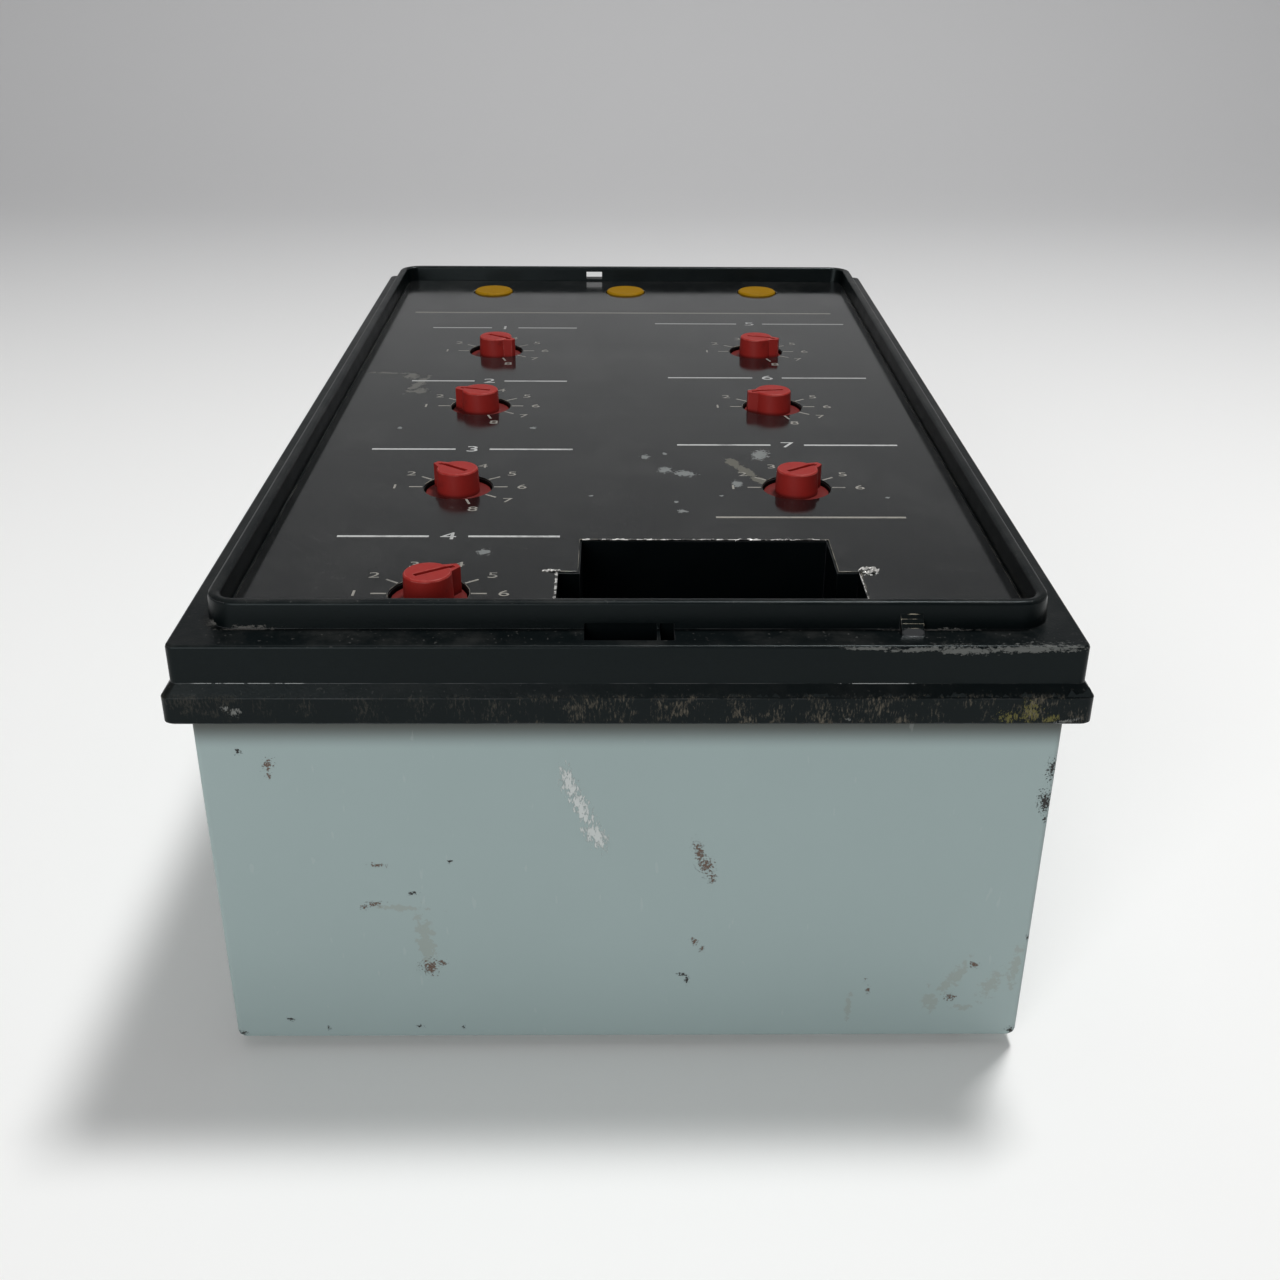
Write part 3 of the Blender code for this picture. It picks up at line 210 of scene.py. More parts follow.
class Effect(Graph):
    """A shared effect: a node group that is built once."""

    name: str
    inputs: str
    outputs: str

    SOCKETS = {"v": "NodeSocketVector", "f": "NodeSocketFloat", "c": "NodeSocketColor"}

    @classmethod
    def group(cls) -> bpy.types.NodeTree:
        """The effect's group, whose sockets are named with a letter for their kind.

        Returns:
            The group, built on first use.
        """
        found = bpy.data.node_groups.get(cls.name)
        if found:
            return found
        made = cls(bpy.data.node_groups.new(cls.name, "ShaderNodeTree"))
        for words, way in ((cls.inputs, "INPUT"), (cls.outputs, "OUTPUT")):
            for word in words.split():
                label, kind = word.split(":")
                made.tree.interface.new_socket(name=label, in_out=way, socket_type=cls.SOCKETS[kind])
        made.node("NodeGroupOutput", made.fill(made.node("NodeGroupInput").outputs))
        return made.tree

    def fill(self, given: Given) -> Feeds:
        """Build the inside, each effect in its own way.

        Args:
            given: The group's inputs.

        Returns:
            What the group's outputs are fed.
        """
        raise NotImplementedError


class WornSpot(Effect):
    """One ragged worn place, as a mask."""

    name = "worn_spot"
    inputs = "Place:v Centre:v Half:v Axis:v Turn:f Ragged:f"
    outputs = "Mask:f"
    solid = 0.75

    def fill(self, given: Given) -> Feeds:
        """Measure how far a point lies from the spot's middle, as a share of its half size."""
        away = self.vector(Sums.SUBTRACT, given["Place"], given["Centre"])
        feeds = {"Vector": away, "Axis": given["Axis"], "Angle": given["Turn"]}
        turned = self.node("ShaderNodeVectorRotate", feeds, rotation_type="AXIS_ANGLE").outputs[0]
        share = self.vector(Sums.DIVIDE, turned, given["Half"])
        length = self.node("ShaderNodeVectorMath", {0: share}, operation="LENGTH").outputs["Value"]
        reach = self.sums(Sums.ADD, length, given["Ragged"])
        return {"Mask": self.ramp(reach, self.solid, 1.0, 1.0, 0.0)}


class Mottle(Effect):
    """Broad changes of brightness in one colour."""

    name = "mottle"
    inputs = "Colour:c Place:v Scale:f Amount:f"
    outputs = "Colour:c"

    def fill(self, given: Given) -> Feeds:
        """Scale the colour by a cloudy value about 1."""
        broad = self.noise(given["Place"], given["Scale"], 3.0, 0.6)
        level = self.sums(Sums.ADD, self.swing(broad, given["Amount"]), 1.0)
        feeds = {0: given["Colour"], "Scale": level}
        return {"Colour": self.node("ShaderNodeVectorMath", feeds, operation="SCALE").outputs[0]}


class FineGrain(Effect):
    """Fine unevenness: a roughness that varies and a height for a bump."""

    name = "fine_grain"
    inputs = "Place:v Scale:f Rough:f Swing:f"
    outputs = "Roughness:f Height:f"
    broad = 0.06

    def fill(self, given: Given) -> Feeds:
        """Vary the height finely and the roughness broadly."""
        grain = self.noise(given["Place"], given["Scale"], 4.0, 0.6)
        cloud = self.noise(given["Place"], self.times(given["Scale"], self.broad), 3.0, 0.6)
        rough = self.sums(Sums.ADD, given["Rough"], self.swing(cloud, given["Swing"]))
        return {"Roughness": rough, "Height": grain}


class SettledDust(Effect):
    """Dust on faces that look up, as a mask."""

    name = "settled_dust"
    inputs = "Place:v Scale:f Amount:f"
    outputs = "Mask:f"
    fine = 24.0
    film = 0.45
    looks_up = (0.3, 0.9)
    cloudy = (0.42, 0.72)
    specks = (0.68, 0.75)

    def fill(self, given: Given) -> Feeds:
        """Lay a cloudy film and fine specks on what looks up."""
        normal = self.node("ShaderNodeNewGeometry").outputs["Normal"]
        upward = self.ramp(self.axis(normal, "Z"), *self.looks_up)
        cloud = self.ramp(self.noise(given["Place"], given["Scale"], 5.0, 0.7), *self.cloudy)
        fine = self.noise(given["Place"], self.times(given["Scale"], self.fine), 1.0)
        dust = self.sums(Sums.ADD, self.times(cloud, self.film), self.ramp(fine, *self.specks))
        return {"Mask": self.times(dust, upward, given["Amount"])}


class WornEdge(Effect):
    """Rubbed corners, where a piece's softened edges are, as a mask."""

    name = "worn_edge"
    inputs = "Place:v Scale:f Amount:f"
    outputs = "Mask:f"
    patches = (0.40, 0.62)

    def fill(self, given: Given) -> Feeds:
        """Break the marked edges up into patches."""
        edge = self.node("ShaderNodeAttribute", attribute_name=SOFT_EDGE).outputs["Fac"]
        patch = self.ramp(self.noise(given["Place"], given["Scale"], 4.0, 0.65), *self.patches)
        return {"Mask": self.times(edge, patch, given["Amount"])}


@dataclass(frozen=True)
class Spot:
    """A worn place: its centre and half size in millimetres, its turn in degrees and where its face looks."""

    centre: Point
    half: Point
    turn: float = 0.0
    facing: Facing = Facing.UP


def near_spots(face: float, *rows: Row) -> tuple[Spot, ...]:
    """Places on a near face, in rows of across, up, width, height and turn, that wrap round its edge."""
    return tuple(
        Spot((x, face, z), (wide / 2, SPOT_DEPTH, high / 2), turn, Facing.NEAR) for x, z, wide, high, turn in rows
    )


def panel_spots(*rows: Row) -> tuple[Spot, ...]:
    """Places on the panel, which looks up, in rows of across, along, width, length and turn."""
    return tuple(
        Spot((x, y, PANEL_LEVEL), (wide / 2, long / 2, SPOT_DEPTH), turn) for x, y, wide, long, turn in rows
    )


@dataclass(frozen=True)
class Tear:
    """How the outline of worn places breaks up.

    scale is the number of breaks in a metre. reach is how far they go and loss is how much they take away, both
    as a share of a place's half size. squeeze packs them closer along each axis.
    """

    scale: float
    reach: float
    loss: float = 0.0
    squeeze: Point = EVEN


class Finish(Graph):
    """A surface finish: the values and the graph of one material, which is made once."""

    name: str

    @property
    def tree(self) -> bpy.types.NodeTree:
        """The material's nodes."""
        return bpy.data.materials[self.name].node_tree

    @property
    def place(self) -> Socket:
        """The shaded point's place, in the frame's own axes."""
        found = self.tree.nodes.get("place") or self.node("ShaderNodeTexCoord", name="place")
        return found.outputs["Object"]

    def material(self) -> bpy.types.Material:
        """The finish's material.

        Returns:
            The material, made on first use.
        """
        found = bpy.data.materials.get(self.name)
        if found:
            return found
        made = bpy.data.materials.new(self.name)
        made.use_nodes = True
        self.dress()
        return made

    def dress(self) -> None:
        """Feed the shader. Each finish does this in its own way."""
        raise NotImplementedError

    def shade(self, **feeds: Feed) -> None:
        """Feed the shader's inputs, named with _ for a space."""
        for name, value in feeds.items():
            self.feed(self.tree.nodes["Principled BSDF"].inputs[name.replace("_", " ")], value)

    def bump(self, height: Feed, depth: float, share: float) -> None:
        """Give the shader a bump: its height from 0 to 1, the depth of a height of 1, and a share."""
        feeds = {"Height": height, "Distance": depth, "Strength": share}
        self.shade(Normal=self.node("ShaderNodeBump", feeds).outputs[0])

    def cloud(self, scale: float, detail: float = 2.0, rough: float = 0.5, squeeze: Point = EVEN) -> Socket:
        """A cloudy value at the shaded point, squeezed along each axis."""
        return self.noise(self.vector(Sums.MULTIPLY, self.place, squeeze), scale, detail, rough)

    def along(self, letter: str, low: float, high: float, start: float = 0.0, end: float = 1.0) -> Socket:
        """A smooth change along one axis."""
        return self.ramp(self.axis(self.place, letter), low, high, start, end)

    def mottled(self, colour: Colour, scale: float, amount: float) -> Socket:
        """A colour with broad changes of brightness."""
        return self.effect(Mottle, Colour=colour, Place=self.place, Scale=scale, Amount=amount).outputs[0]

    def grain(self, scale: float, rough: float, swing: float) -> tuple[Socket, Socket]:
        """A roughness that varies, and the height of the grain."""
        made = self.effect(FineGrain, Place=self.place, Scale=scale, Rough=rough, Swing=swing)
        return made.outputs["Roughness"], made.outputs["Height"]

    def edge(self, scale: float, amount: float) -> Socket:
        """The mask of the rubbed edges."""
        return self.effect(WornEdge, Place=self.place, Scale=scale, Amount=amount).outputs[0]

    def dust(self, scale: float, amount: float) -> Socket:
        """The mask of the dust."""
        return self.effect(SettledDust, Place=self.place, Scale=scale, Amount=amount).outputs[0]

    def ragged(self, tear: Tear) -> Socket:
        """A value that breaks up the outline of worn places."""
        cloud = self.cloud(tear.scale, 6.0, 0.75, tear.squeeze)
        return self.sums(Sums.ADD, self.swing(cloud, tear.reach), tear.loss)

    def spots(self, spots: tuple[Spot, ...], ragged: Feed = 0.0) -> Feed:
        """Several worn places as one mask.

        Args:
            spots: The worn places.
            ragged: What is added to the distance from a spot's middle.

        Returns:
            The mask.
        """
        mask: Feed = 0.0
        for spot in spots:
            one = self.effect(
                WornSpot,
                Place=self.place,
                Centre=tuple(value * MM for value in spot.centre),
                Half=tuple(value * MM for value in spot.half),
                Axis=spot.facing.value,
                Turn=math.radians(spot.turn),
                Ragged=ragged,
            )
            mask = self.larger(mask, one.outputs[0])
        return mask


@dataclass(frozen=True)
class CanPaint(Finish):
    """Satin blue-grey paint on steel, scratched, chipped and stained on its near face, with painted shade under
    the flange.
    """

    name: str = "chipped_can_paint"
    paint: Colour = (0.274, 0.349, 0.347)
    primer: Colour = (0.52, 0.545, 0.535)
    rust: Colour = (0.098, 0.048, 0.028)
    bare: Colour = (0.022, 0.021, 0.020)
    grime: Colour = (0.222, 0.232, 0.188)
    # Painted shade: the dark colour laid on the can just under the flange, darkest at the top.
    soot: Colour = (0.038, 0.042, 0.036)
    soot_start: float = 0.0597
    soot_end: float = 0.0644
    near_face: float = -0.1180
    near_fade: float = 0.001
    fleck_from: float = 0.645
    fleck_edge: float = 0.02
    rough: float = 0.46
    lost_rough: float = 0.8
    depth: float = 0.00008
    chip_tear: Tear = Tear(2600.0, 8.0, 0.35)
    stain_tear: Tear = Tear(700.0, 4.6, 0.2)
    scratch_tear: Tear = Tear(1500.0, 7.0, 0.05, (1.6, 1.0, 0.5))
    scratches: tuple[Spot, ...] = near_spots(
        CAN_FACE, (-9.3, 53.4, 2.0, 6.0, 18), (-7.6, 49.4, 2.2, 9.0, 24), (-5.2, 43.8, 2.6, 5.0, 28)
    )
    chips: tuple[Spot, ...] = near_spots(
        CAN_FACE,
        *((11.4, 40.4, 1.5, 4.4, 14), (12.6, 37.9, 2.6, 3.2, 20), (13.5, 35.4, 1.4, 1.8, 0)),
        *((-56.1, 57.0, 1.5, 2.2, -20), (-56.3, 55.0, 0.9, 0.9, 0), (-40.6, 38.1, 2.6, 0.7, -6)),
        *((-43.2, 29.7, 1.2, 0.8, 0), (-41.6, 30.4, 3.2, 0.9, 8), (-33.2, 17.4, 2.6, 3.0, 30)),
        *((-31.2, 18.3, 1.7, 1.0, -10), (11.0, 22.6, 0.9, 1.8, 24), (12.2, 21.0, 1.0, 1.2, 0)),
        *((40.7, 12.3, 0.8, 1.3, 0), (40.2, 14.6, 0.6, 0.7, 0)),
        *((58.2, 17.6, 1.7, 1.3, 0), (55.0, 10.6, 1.8, 1.5, 0)),
    )
    bare_spots: tuple[Spot, ...] = near_spots(
        CAN_FACE,
        *((-60.5, 59.4, 1.2, 1.0, 0), (-35.1, 32.6, 1.6, 0.8, 10), (-28.8, 38.9, 0.8, 0.8, 0)),
        *((9.2, 15.7, 2.0, 0.8, -12), (9.9, 14.6, 0.7, 1.5, 0), (66.4, 56.2, 1.8, 3.6, 0)),
        *((66.1, 50.3, 2.4, 4.2, 0), (66.4, 46.8, 0.9, 1.4, 0), (66.7, 23.2, 0.9, 1.2, 0)),
        *((-35.6, 4.6, 1.4, 0.7, 0), (-28.1, 4.3, 0.9, 0.8, 0), (-51.2, 4.4, 0.8, 0.8, 0)),
        *((-57.5, 6.2, 1.3, 0.7, 0), (-66.1, 3.2, 1.5, 1.5, 0), (66.2, 3.4, 1.6, 1.6, 0)),
    )
    stains: tuple[Spot, ...] = near_spots(
        CAN_FACE,
        *((-37.4, 29.6, 12.0, 1.6, -4), (-33.6, 23.0, 3.4, 13.5, 6), (55.0, 14.6, 3.0, 11.0, -32)),
        *((51.6, 10.0, 3.2, 5.4, 8), (61.6, 13.6, 3.2, 8.0, -20), (65.2, 17.0, 2.0, 10.0, -4)),
        *((57.2, 8.4, 5.0, 1.8, 0), (37.6, 8.8, 1.2, 7.0, 0)),
    )

    def dress(self) -> None:
        """Layer painted shade under the flange, stains, pale scratches, rust and bare chips over the paint."""
        ragged = self.ragged(self.chip_tear)
        streaks = self.ramp(self.cloud(700.0, squeeze=(1.0, 1.0, 0.25)), 0.70, 0.74)
        scratches = self.spots(self.scratches, self.ragged(self.scratch_tear))
        edge = self.edge(220.0, 0.85)
        chips = self.larger(self.spots(self.chips, ragged), self.flecks())
        bare = self.spots(self.bare_spots, ragged)
        colour = self.layered(
            self.mottled(self.paint, 14.0, 0.10),
            # Painted shade under the flange, growing darker towards it.
            (self.along("Z", self.soot_start, self.soot_end), 0.95, self.soot),
            (self.spots(self.stains, self.ragged(self.stain_tear)), 0.40, self.grime),
            (streaks, 0.10, self.primer),
            (scratches, 0.85, self.primer),
            (edge, 1.0, self.rust),
            (chips, 0.9, self.rust),
            (bare, 1.0, self.bare),
        )
        lost = self.larger(chips, bare, edge)
        rough, skin = self.grain(1500.0, self.rough, 0.12)
        self.shade(Base_Color=colour, Roughness=self.ramp(lost, 0.0, 1.0, rough, self.lost_rough))
        height = self.sums(Sums.SUBTRACT, self.times(skin, 0.10), self.larger(lost, scratches))
        self.bump(height, self.depth, 0.7)

    def flecks(self) -> Feed:
        """Sparse chips on the sides behind the near face.

        Returns:
            The mask.
        """
        cloud = self.cloud(55.0, 8.0, 0.72)
        chips = self.ramp(cloud, self.fleck_from, self.fleck_from + self.fleck_edge)
        return self.times(chips, self.along("Y", self.near_face, self.near_face + self.near_fade))


@dataclass(frozen=True)
class BlackMoulding(Finish):
    """Black thermoset, semi-matt, with a scraped band, an abraded corner, dust in its steps and painted
    highlights on some edges and on the catch's teeth.
    """

    name: str = "scuffed_black_moulding"
    black: Colour = (0.0016, 0.0030, 0.0034)
    polished: Colour = (0.055, 0.056, 0.058)
    scraped: Colour = (0.100, 0.088, 0.068)
    abraded: Colour = (0.14, 0.145, 0.138)
    yellowed: Colour = (0.19, 0.17, 0.045)
    dust_tint: Colour = (0.16, 0.155, 0.145)
    cream: Colour = (0.42, 0.385, 0.30)
    shiny: Colour = (0.30, 0.31, 0.31)
    gloss_tint: Colour = (0.84, 0.98, 1.0)
    sheen: float = 0.16
    rough: float = 0.33
    worn_rough: float = 0.75
    depth: float = 0.00012
    band_low: float = 0.0661
    band_high: float = 0.0709
    band_soft: float = 0.0004
    near_face: float = -0.1200
    near_fade: float = 0.0006
    light_to: float = -0.030
    heavy_from: float = 0.006
    light_share: float = 0.24
    rub_tear: Tear = Tear(2400.0, 4.6, 0.0, (0.6, 1.0, 1.0))
    band_tear: Tear = Tear(3200.0, 7.0, 0.3, (1.0, 1.0, 0.5))
    # Where the catch's teeth get a painted highlight.
    catch: tuple[Spot, ...] = (Spot((42.8, -115.7, 80.5), (2.2, 1.5, 1.3)),)
    catch_foot: tuple[Spot, ...] = (Spot((42.8, -117.0, 79.15), (1.95, 1.0, 0.75)),)
    # Painted highlight lines along the wall's top edge, the rim's near top edge and the wall's foot.
    bright_edges: tuple[Spot, ...] = (
        Spot((-14.5, -120.4, 78.6), (6.0, 0.9, 0.5)),
        Spot((1.5, -120.4, 78.6), (8.5, 0.9, 0.5)),
        Spot((16.0, -120.4, 78.6), (5.0, 0.9, 0.4)),
        Spot((-36.0, -114.4, 82.8), (36.0, 0.7, 0.5)),
        Spot((37.0, -120.5, 72.4), (6.5, 0.6, 0.4)),
        Spot((-57.0, -120.5, 72.4), (9.0, 0.6, 0.4)),
    )
    dust_spots: tuple[Spot, ...] = (
        Spot((-63.4, -112.8, 78.7), (0.9, 1.2, 0.6)),
        Spot((-64.2, -109.0, 78.7), (0.4, 3.0, 0.5)),
        Spot((-58.0, -114.9, 78.7), (4.5, 0.3, 0.5)),
        Spot((46.0, -115.0, 78.7), (7.0, 0.25, 0.4)),
    )
    yellow_spots: tuple[Spot, ...] = near_spots(
        BAND_FACE, (60.8, 68.2, 3.4, 3.6, 10), (57.4, 67.4, 3.0, 1.9, 0), (63.6, 67.0, 3.4, 1.2, 14)
    )
    pale_spots: tuple[Spot, ...] = near_spots(
        BAND_FACE,
        *((-59.2, 68.2, 2.4, 1.6, 30), (-60.6, 68.9, 1.2, 0.9, 0)),
        *((66.4, 66.7, 4.6, 0.5, 10), (33.0, 67.0, 0.9, 0.5, 0)),
    )
    abraded_spots: tuple[Spot, ...] = near_spots(
        WALL_FACE,
        *((60.0, 78.15, 17.0, 1.0, 1), (50.2, 77.95, 9.0, 1.2, -2)),
        *((43.2, 78.1, 8.0, 0.7, 3), (36.0, 78.3, 8.0, 0.5, 0)),
    )

    def dress(self) -> None:
        """Layer dust, rubbed edges, painted highlights, scrapes and stains over the black."""
        rubbed = self.ragged(self.rub_tear)
        torn = self.ragged(self.band_tear)
        lying = self.times(self.spots(self.dust_spots, rubbed), 0.7)
        dust = self.larger(self.dust(70.0, 0.22), lying)
        corner = self.edge(700.0, 3.0)
        scrapes = self.scrapes()
        abraded = self.times(self.spots(self.abraded_spots, rubbed), 0.75)
        pale = self.larger(self.spots(self.pale_spots, torn), abraded)
        colour = self.layered(
            self.mottled(self.black, 30.0, 0.5),
            (dust, 1.0, self.dust_tint),
            (self.edge(90.0, 0.8), 1.0, self.polished),
            # The catch's foot is painted a paler grey.
            (self.spots(self.catch_foot), 0.8, self.polished),
            # Painted highlight: cream on the softened edges of the catch's teeth.
            (self.times(self.spots(self.catch), corner), 1.0, self.cream),
            # Painted highlight: pale grey on the softened edges at these places.
            (self.times(self.spots(self.bright_edges), corner), 1.0, self.shiny),
            (scrapes, 1.0, self.scraped),
            (self.spots(self.yellow_spots, torn), 0.5, self.yellowed),
            (pale, 1.0, self.abraded),
        )
        rough, skin = self.grain(2600.0, self.rough, 0.20)
        self.shade(
            Base_Color=colour,
            Roughness=self.ramp(self.larger(scrapes, pale, dust), 0.0, 0.6, rough, self.worn_rough),
            Specular_IOR_Level=self.sheen,
            Specular_Tint=self.gloss_tint,
        )
        height = self.sums(Sums.SUBTRACT, self.times(skin, 0.25), self.larger(scrapes, pale))
        self.bump(height, self.depth, 0.6)

    def scrapes(self) -> Feed:
        """Upright scrapes on the band's near face, heavier to the right.

        Returns:
            The mask.
        """
        streaks = self.cloud(2600.0, 5.0, 0.72, (1.0, 1.0, 0.28))
        patches = self.times(self.cloud(190.0, 3.0, 0.6), 0.7)
        return self.times(
            self.ramp(self.sums(Sums.ADD, streaks, patches), 0.88, 1.08),
            self.along("Z", self.band_low - self.band_soft, self.band_low + self.band_soft),
            self.along("Z", self.band_high - self.band_soft, self.band_high + self.band_soft, 1.0, 0.0),
            self.along("Y", self.near_face - self.near_fade, self.near_face, 1.0, 0.0),
            self.along("X", self.light_to, self.heavy_from, self.light_share, 1.0),
        )


@dataclass(frozen=True)
class LegendFilm(Finish):
    """Glossy black film with smears, dried paint specks, a torn strip and pale cut edges."""

    name: str = "glossy_legend_film"
    black: Colour = (0.0050, 0.0055, 0.0058)
    cut: Colour = (0.40, 0.375, 0.31)
    torn: Colour = (0.125, 0.122, 0.112)
    speck: Colour = (0.20, 0.212, 0.208)
    smear: Colour = (0.11, 0.105, 0.085)
    dust_tint: Colour = (0.30, 0.30, 0.29)
    gloss_tint: Colour = (0.93, 1.0, 0.985)
    clean_rough: float = 0.07
    hazy_rough: float = 0.18
    marked_rough: float = 0.65
    depth: float = 0.00006
    strip_tear: Tear = Tear(800.0, 4.6)
    speck_tear: Tear = Tear(1700.0, 3.8)
    smear_tear: Tear = Tear(900.0, 2.4)
    torn_spots: tuple[Spot, ...] = panel_spots(
        *((-55.5, 18.6, 12.0, 1.2, 4), (-49.5, 16.2, 3.4, 6.0, 20)),
        *((-47.3, 9.5, 2.4, 12.0, 14), (-46.2, 4.6, 4.4, 3.4, 0)),
    )
    specks: tuple[Spot, ...] = panel_spots(
        *((26.4, -37.6, 3.4, 6.4, 12), (7.2, -46.3, 2.6, 3.4, 10), (10.8, -48.4, 4.4, 3.2, 24)),
        *((3.5, -38.9, 1.8, 2.6, 0), (9.9, -67.8, 1.8, 1.7, 0), (8.8, -63.4, 0.9, 1.1, 0)),
        *((20.7, -54.0, 2.0, 3.6, 0), (-24.3, -86.6, 2.6, 2.2, 10), (17.4, -60.2, 0.8, 0.8, 0)),
        *((7.4, -37.0, 1.0, 1.4, 0), (-47.2, -21.4, 1.1, 1.5, 0), (-19.6, -21.2, 1.5, 1.5, 0)),
        *((-6.8, -60.4, 0.9, 0.9, 0), (48.0, -61.0, 0.9, 0.9, 0)),
    )
    smears: tuple[Spot, ...] = panel_spots(
        (20.6, -42.2, 2.8, 5.6, -16), (22.6, -46.8, 2.6, 9.0, -24), (25.4, -52.4, 2.4, 6.6, -34)
    )

    def dress(self) -> None:
        """Layer dust, smears, specks, the tear and the cut edges over the film."""
        torn = self.spots(self.torn_spots, self.ragged(self.strip_tear))
        smears = self.spots(self.smears, self.ragged(self.smear_tear))
        specks = self.spots(self.specks, self.ragged(self.speck_tear))
        colour = self.layered(
            self.mottled(self.black, 24.0, 0.5),
            (self.dust(55.0, 0.07), 1.0, self.dust_tint),
            (torn, 0.8, self.torn),
            (smears, 0.85, self.smear),
            (specks, 0.8, self.speck),
            (self.edge(160.0, 0.75), 1.0, self.cut),
        )
        marks = self.larger(torn, smears, specks)
        cloud = self.cloud(45.0, 5.0, 0.65, (1.0, 0.35, 1.0))
        haze = self.ramp(cloud, 0.3, 0.8, self.clean_rough, self.hazy_rough)
        self.shade(
            Base_Color=colour,
            Roughness=self.ramp(marks, 0.0, 1.0, haze, self.marked_rough),
            Specular_Tint=self.gloss_tint,
        )
        waves = self.times(self.cloud(60.0, 2.0, 0.4), 0.35)
        self.bump(self.sums(Sums.ADD, waves, marks), self.depth, 0.5)


@dataclass(frozen=True)
class SatinPlastic(Finish):
    """Moulded plastic in one colour, with a fine grain, paler rubbed edges and grime."""

    name: str
    colour: Colour
    rubbed: Colour
    rough: float
    grime: Colour = (0.03, 0.02, 0.018)
    dusty: float = 0.05
    sheen: float = 0.30
    dust_tint: Colour = (0.5, 0.48, 0.45)
    depth: float = 0.00003

    def tint(self) -> Feed:
        """Vary the colour, rub its edges and settle grime and dust on it.

        Returns:
            The colour.
        """
        return self.layered(
            self.mottled(self.colour, 260.0, 0.22),
            (self.ramp(self.cloud(420.0, 4.0, 0.7), 0.56, 0.78), 0.45, self.grime),
            (self.edge(500.0, 0.8), 1.0, self.rubbed),
            (self.dust(240.0, self.dusty), 1.0, self.dust_tint),
        )

    def dress(self) -> None:
        """Tint the plastic and raise its grain."""
        rough, height = self.grain(3200.0, self.rough, 0.18)
        self.shade(Base_Color=self.tint(), Roughness=rough, Specular_IOR_Level=self.sheen)
        self.bump(height, self.depth, 0.35)


@dataclass(frozen=True)
class DialRed(SatinPlastic):
    """The dials' red plastic, whose skirt under the panel is painted darker, as shade in its recess and some
    dirt.
    """

    skirt_low: float = 0.0782
    skirt_high: float = 0.0793
    skirt_dirt: float = 0.76

    def tint(self) -> Feed:
        """Tint the plastic and paint shade and dirt on what lies below the panel.

        Returns:
            The colour.
        """
        # Painted shade with some dirt: below the panel the skirt takes the grime colour.
        below = self.along("Z", self.skirt_low, self.skirt_high, 1.0, 0.0)
        return self.layered(super().tint(), (below, self.skirt_dirt, self.grime))


@dataclass(frozen=True)
class PlainMetal(Finish):
    """Plated or turned metal with fine tool lines and a light tarnish."""

    name: str
    colour: Colour
    tarnish: Colour
    rough: float = 0.32
    lines: Point = (1.0, 1.0, 8.0)
    tarnished: float = 0.75
    depth: float = 0.00002

    def dress(self) -> None:
        """Draw tool lines and tarnish over the metal."""
        lines = self.cloud(900.0, 3.0, 0.6, self.lines)
        tarnish = self.ramp(self.cloud(260.0, 5.0, 0.65), 0.45, 0.75, 0.0, self.tarnished)
        colour = self.layered(self.mottled(self.colour, 120.0, 0.2), (tarnish, 1.0, self.tarnish))
        rough = self.ramp(lines, 0.3, 0.7, self.rough - 0.08, self.rough + 0.10)
        rough = self.ramp(tarnish, 0.0, self.tarnished, rough, self.rough + 0.25)
        self.shade(Base_Color=colour, Metallic=1.0, Roughness=rough)
        self.bump(lines, self.depth, 0.4)


@dataclass(frozen=True)
class TornFoilFinish(Finish):
    """Bright metal foil that shows in broken dashes along a torn black edge."""

    name: str
    silver: Colour
    black: Colour
    bright_from: float
    bright_edge: float = 0.07
    metal: float = 0.55
    black_rough: float = 0.6
    bright_rough: float = 0.38
    depth: float = 0.00008

    def dress(self) -> None:
        """Break the foil up with patches that are still black."""
        cloud = self.cloud(430.0, 4.0, 0.7)
        bright = self.ramp(cloud, self.bright_from, self.bright_from + self.bright_edge)
        self.shade(
            Base_Color=self.blend(bright, self.black, self.silver),
            Metallic=self.times(bright, self.metal),
            Roughness=self.ramp(bright, 0.0, 1.0, self.black_rough, self.bright_rough),
        )
        self.bump(self.cloud(2400.0, 3.0), self.depth, 0.8)


@dataclass(frozen=True)
class PrintInk(Finish):
    """Pale ink, rubbed thin in places and fainter towards the far end."""

    name: str = "rubbed_ink"
    ink: Colour = (0.27, 0.26, 0.23)
    rubbed: Colour = (0.10, 0.10, 0.095)
    fade_start: float = -0.05
    fade_end: float = 0.08
    faded: float = 0.62

    def dress(self) -> None:
        """Rub the ink away in patches and fine lines."""
        patch = self.ramp(self.cloud(150.0, 5.0, 0.7), 0.50, 0.68, 0.0, 0.75)
        fine = self.ramp(self.cloud(1900.0), 0.55, 0.72, 0.0, 0.5)
        faint = self.along("Y", self.fade_start, self.fade_end, 0.0, self.faded)
        gone = self.larger(patch, fine, faint)
        rough, _ = self.grain(2500.0, 0.45, 0.15)
        self.shade(Base_Color=self.blend(gone, self.ink, self.rubbed), Roughness=rough)


@dataclass(frozen=True)
class BoardMask(Finish):
    """Green solder mask over copper tracks."""

    name: str = "solder_mask"
    green: Colour = (0.012, 0.095, 0.040)
    track: Colour = (0.030, 0.170, 0.070)
    pitch: float = 210.0
    squeeze: Point = (1.0, 0.45, 0.0)
    depth: float = 0.00004

    def dress(self) -> None:
        """Raise tracks under the mask."""
        place = self.vector(Sums.MULTIPLY, self.place, self.squeeze)
        feeds = {"Vector": place, "Scale": self.pitch, "Randomness": 0.55}
        cells = self.node("ShaderNodeTexVoronoi", feeds, feature="DISTANCE_TO_EDGE").outputs["Distance"]
        tracks = self.ramp(cells, 0.05, 0.09, 1.0, 0.0)
        colour = self.layered(self.mottled(self.green, 90.0, 0.2), (tracks, 1.0, self.track))
        rough, _ = self.grain(1800.0, 0.34, 0.12)
        self.shade(Base_Color=colour, Roughness=rough)
        self.bump(tracks, self.depth, 0.6)


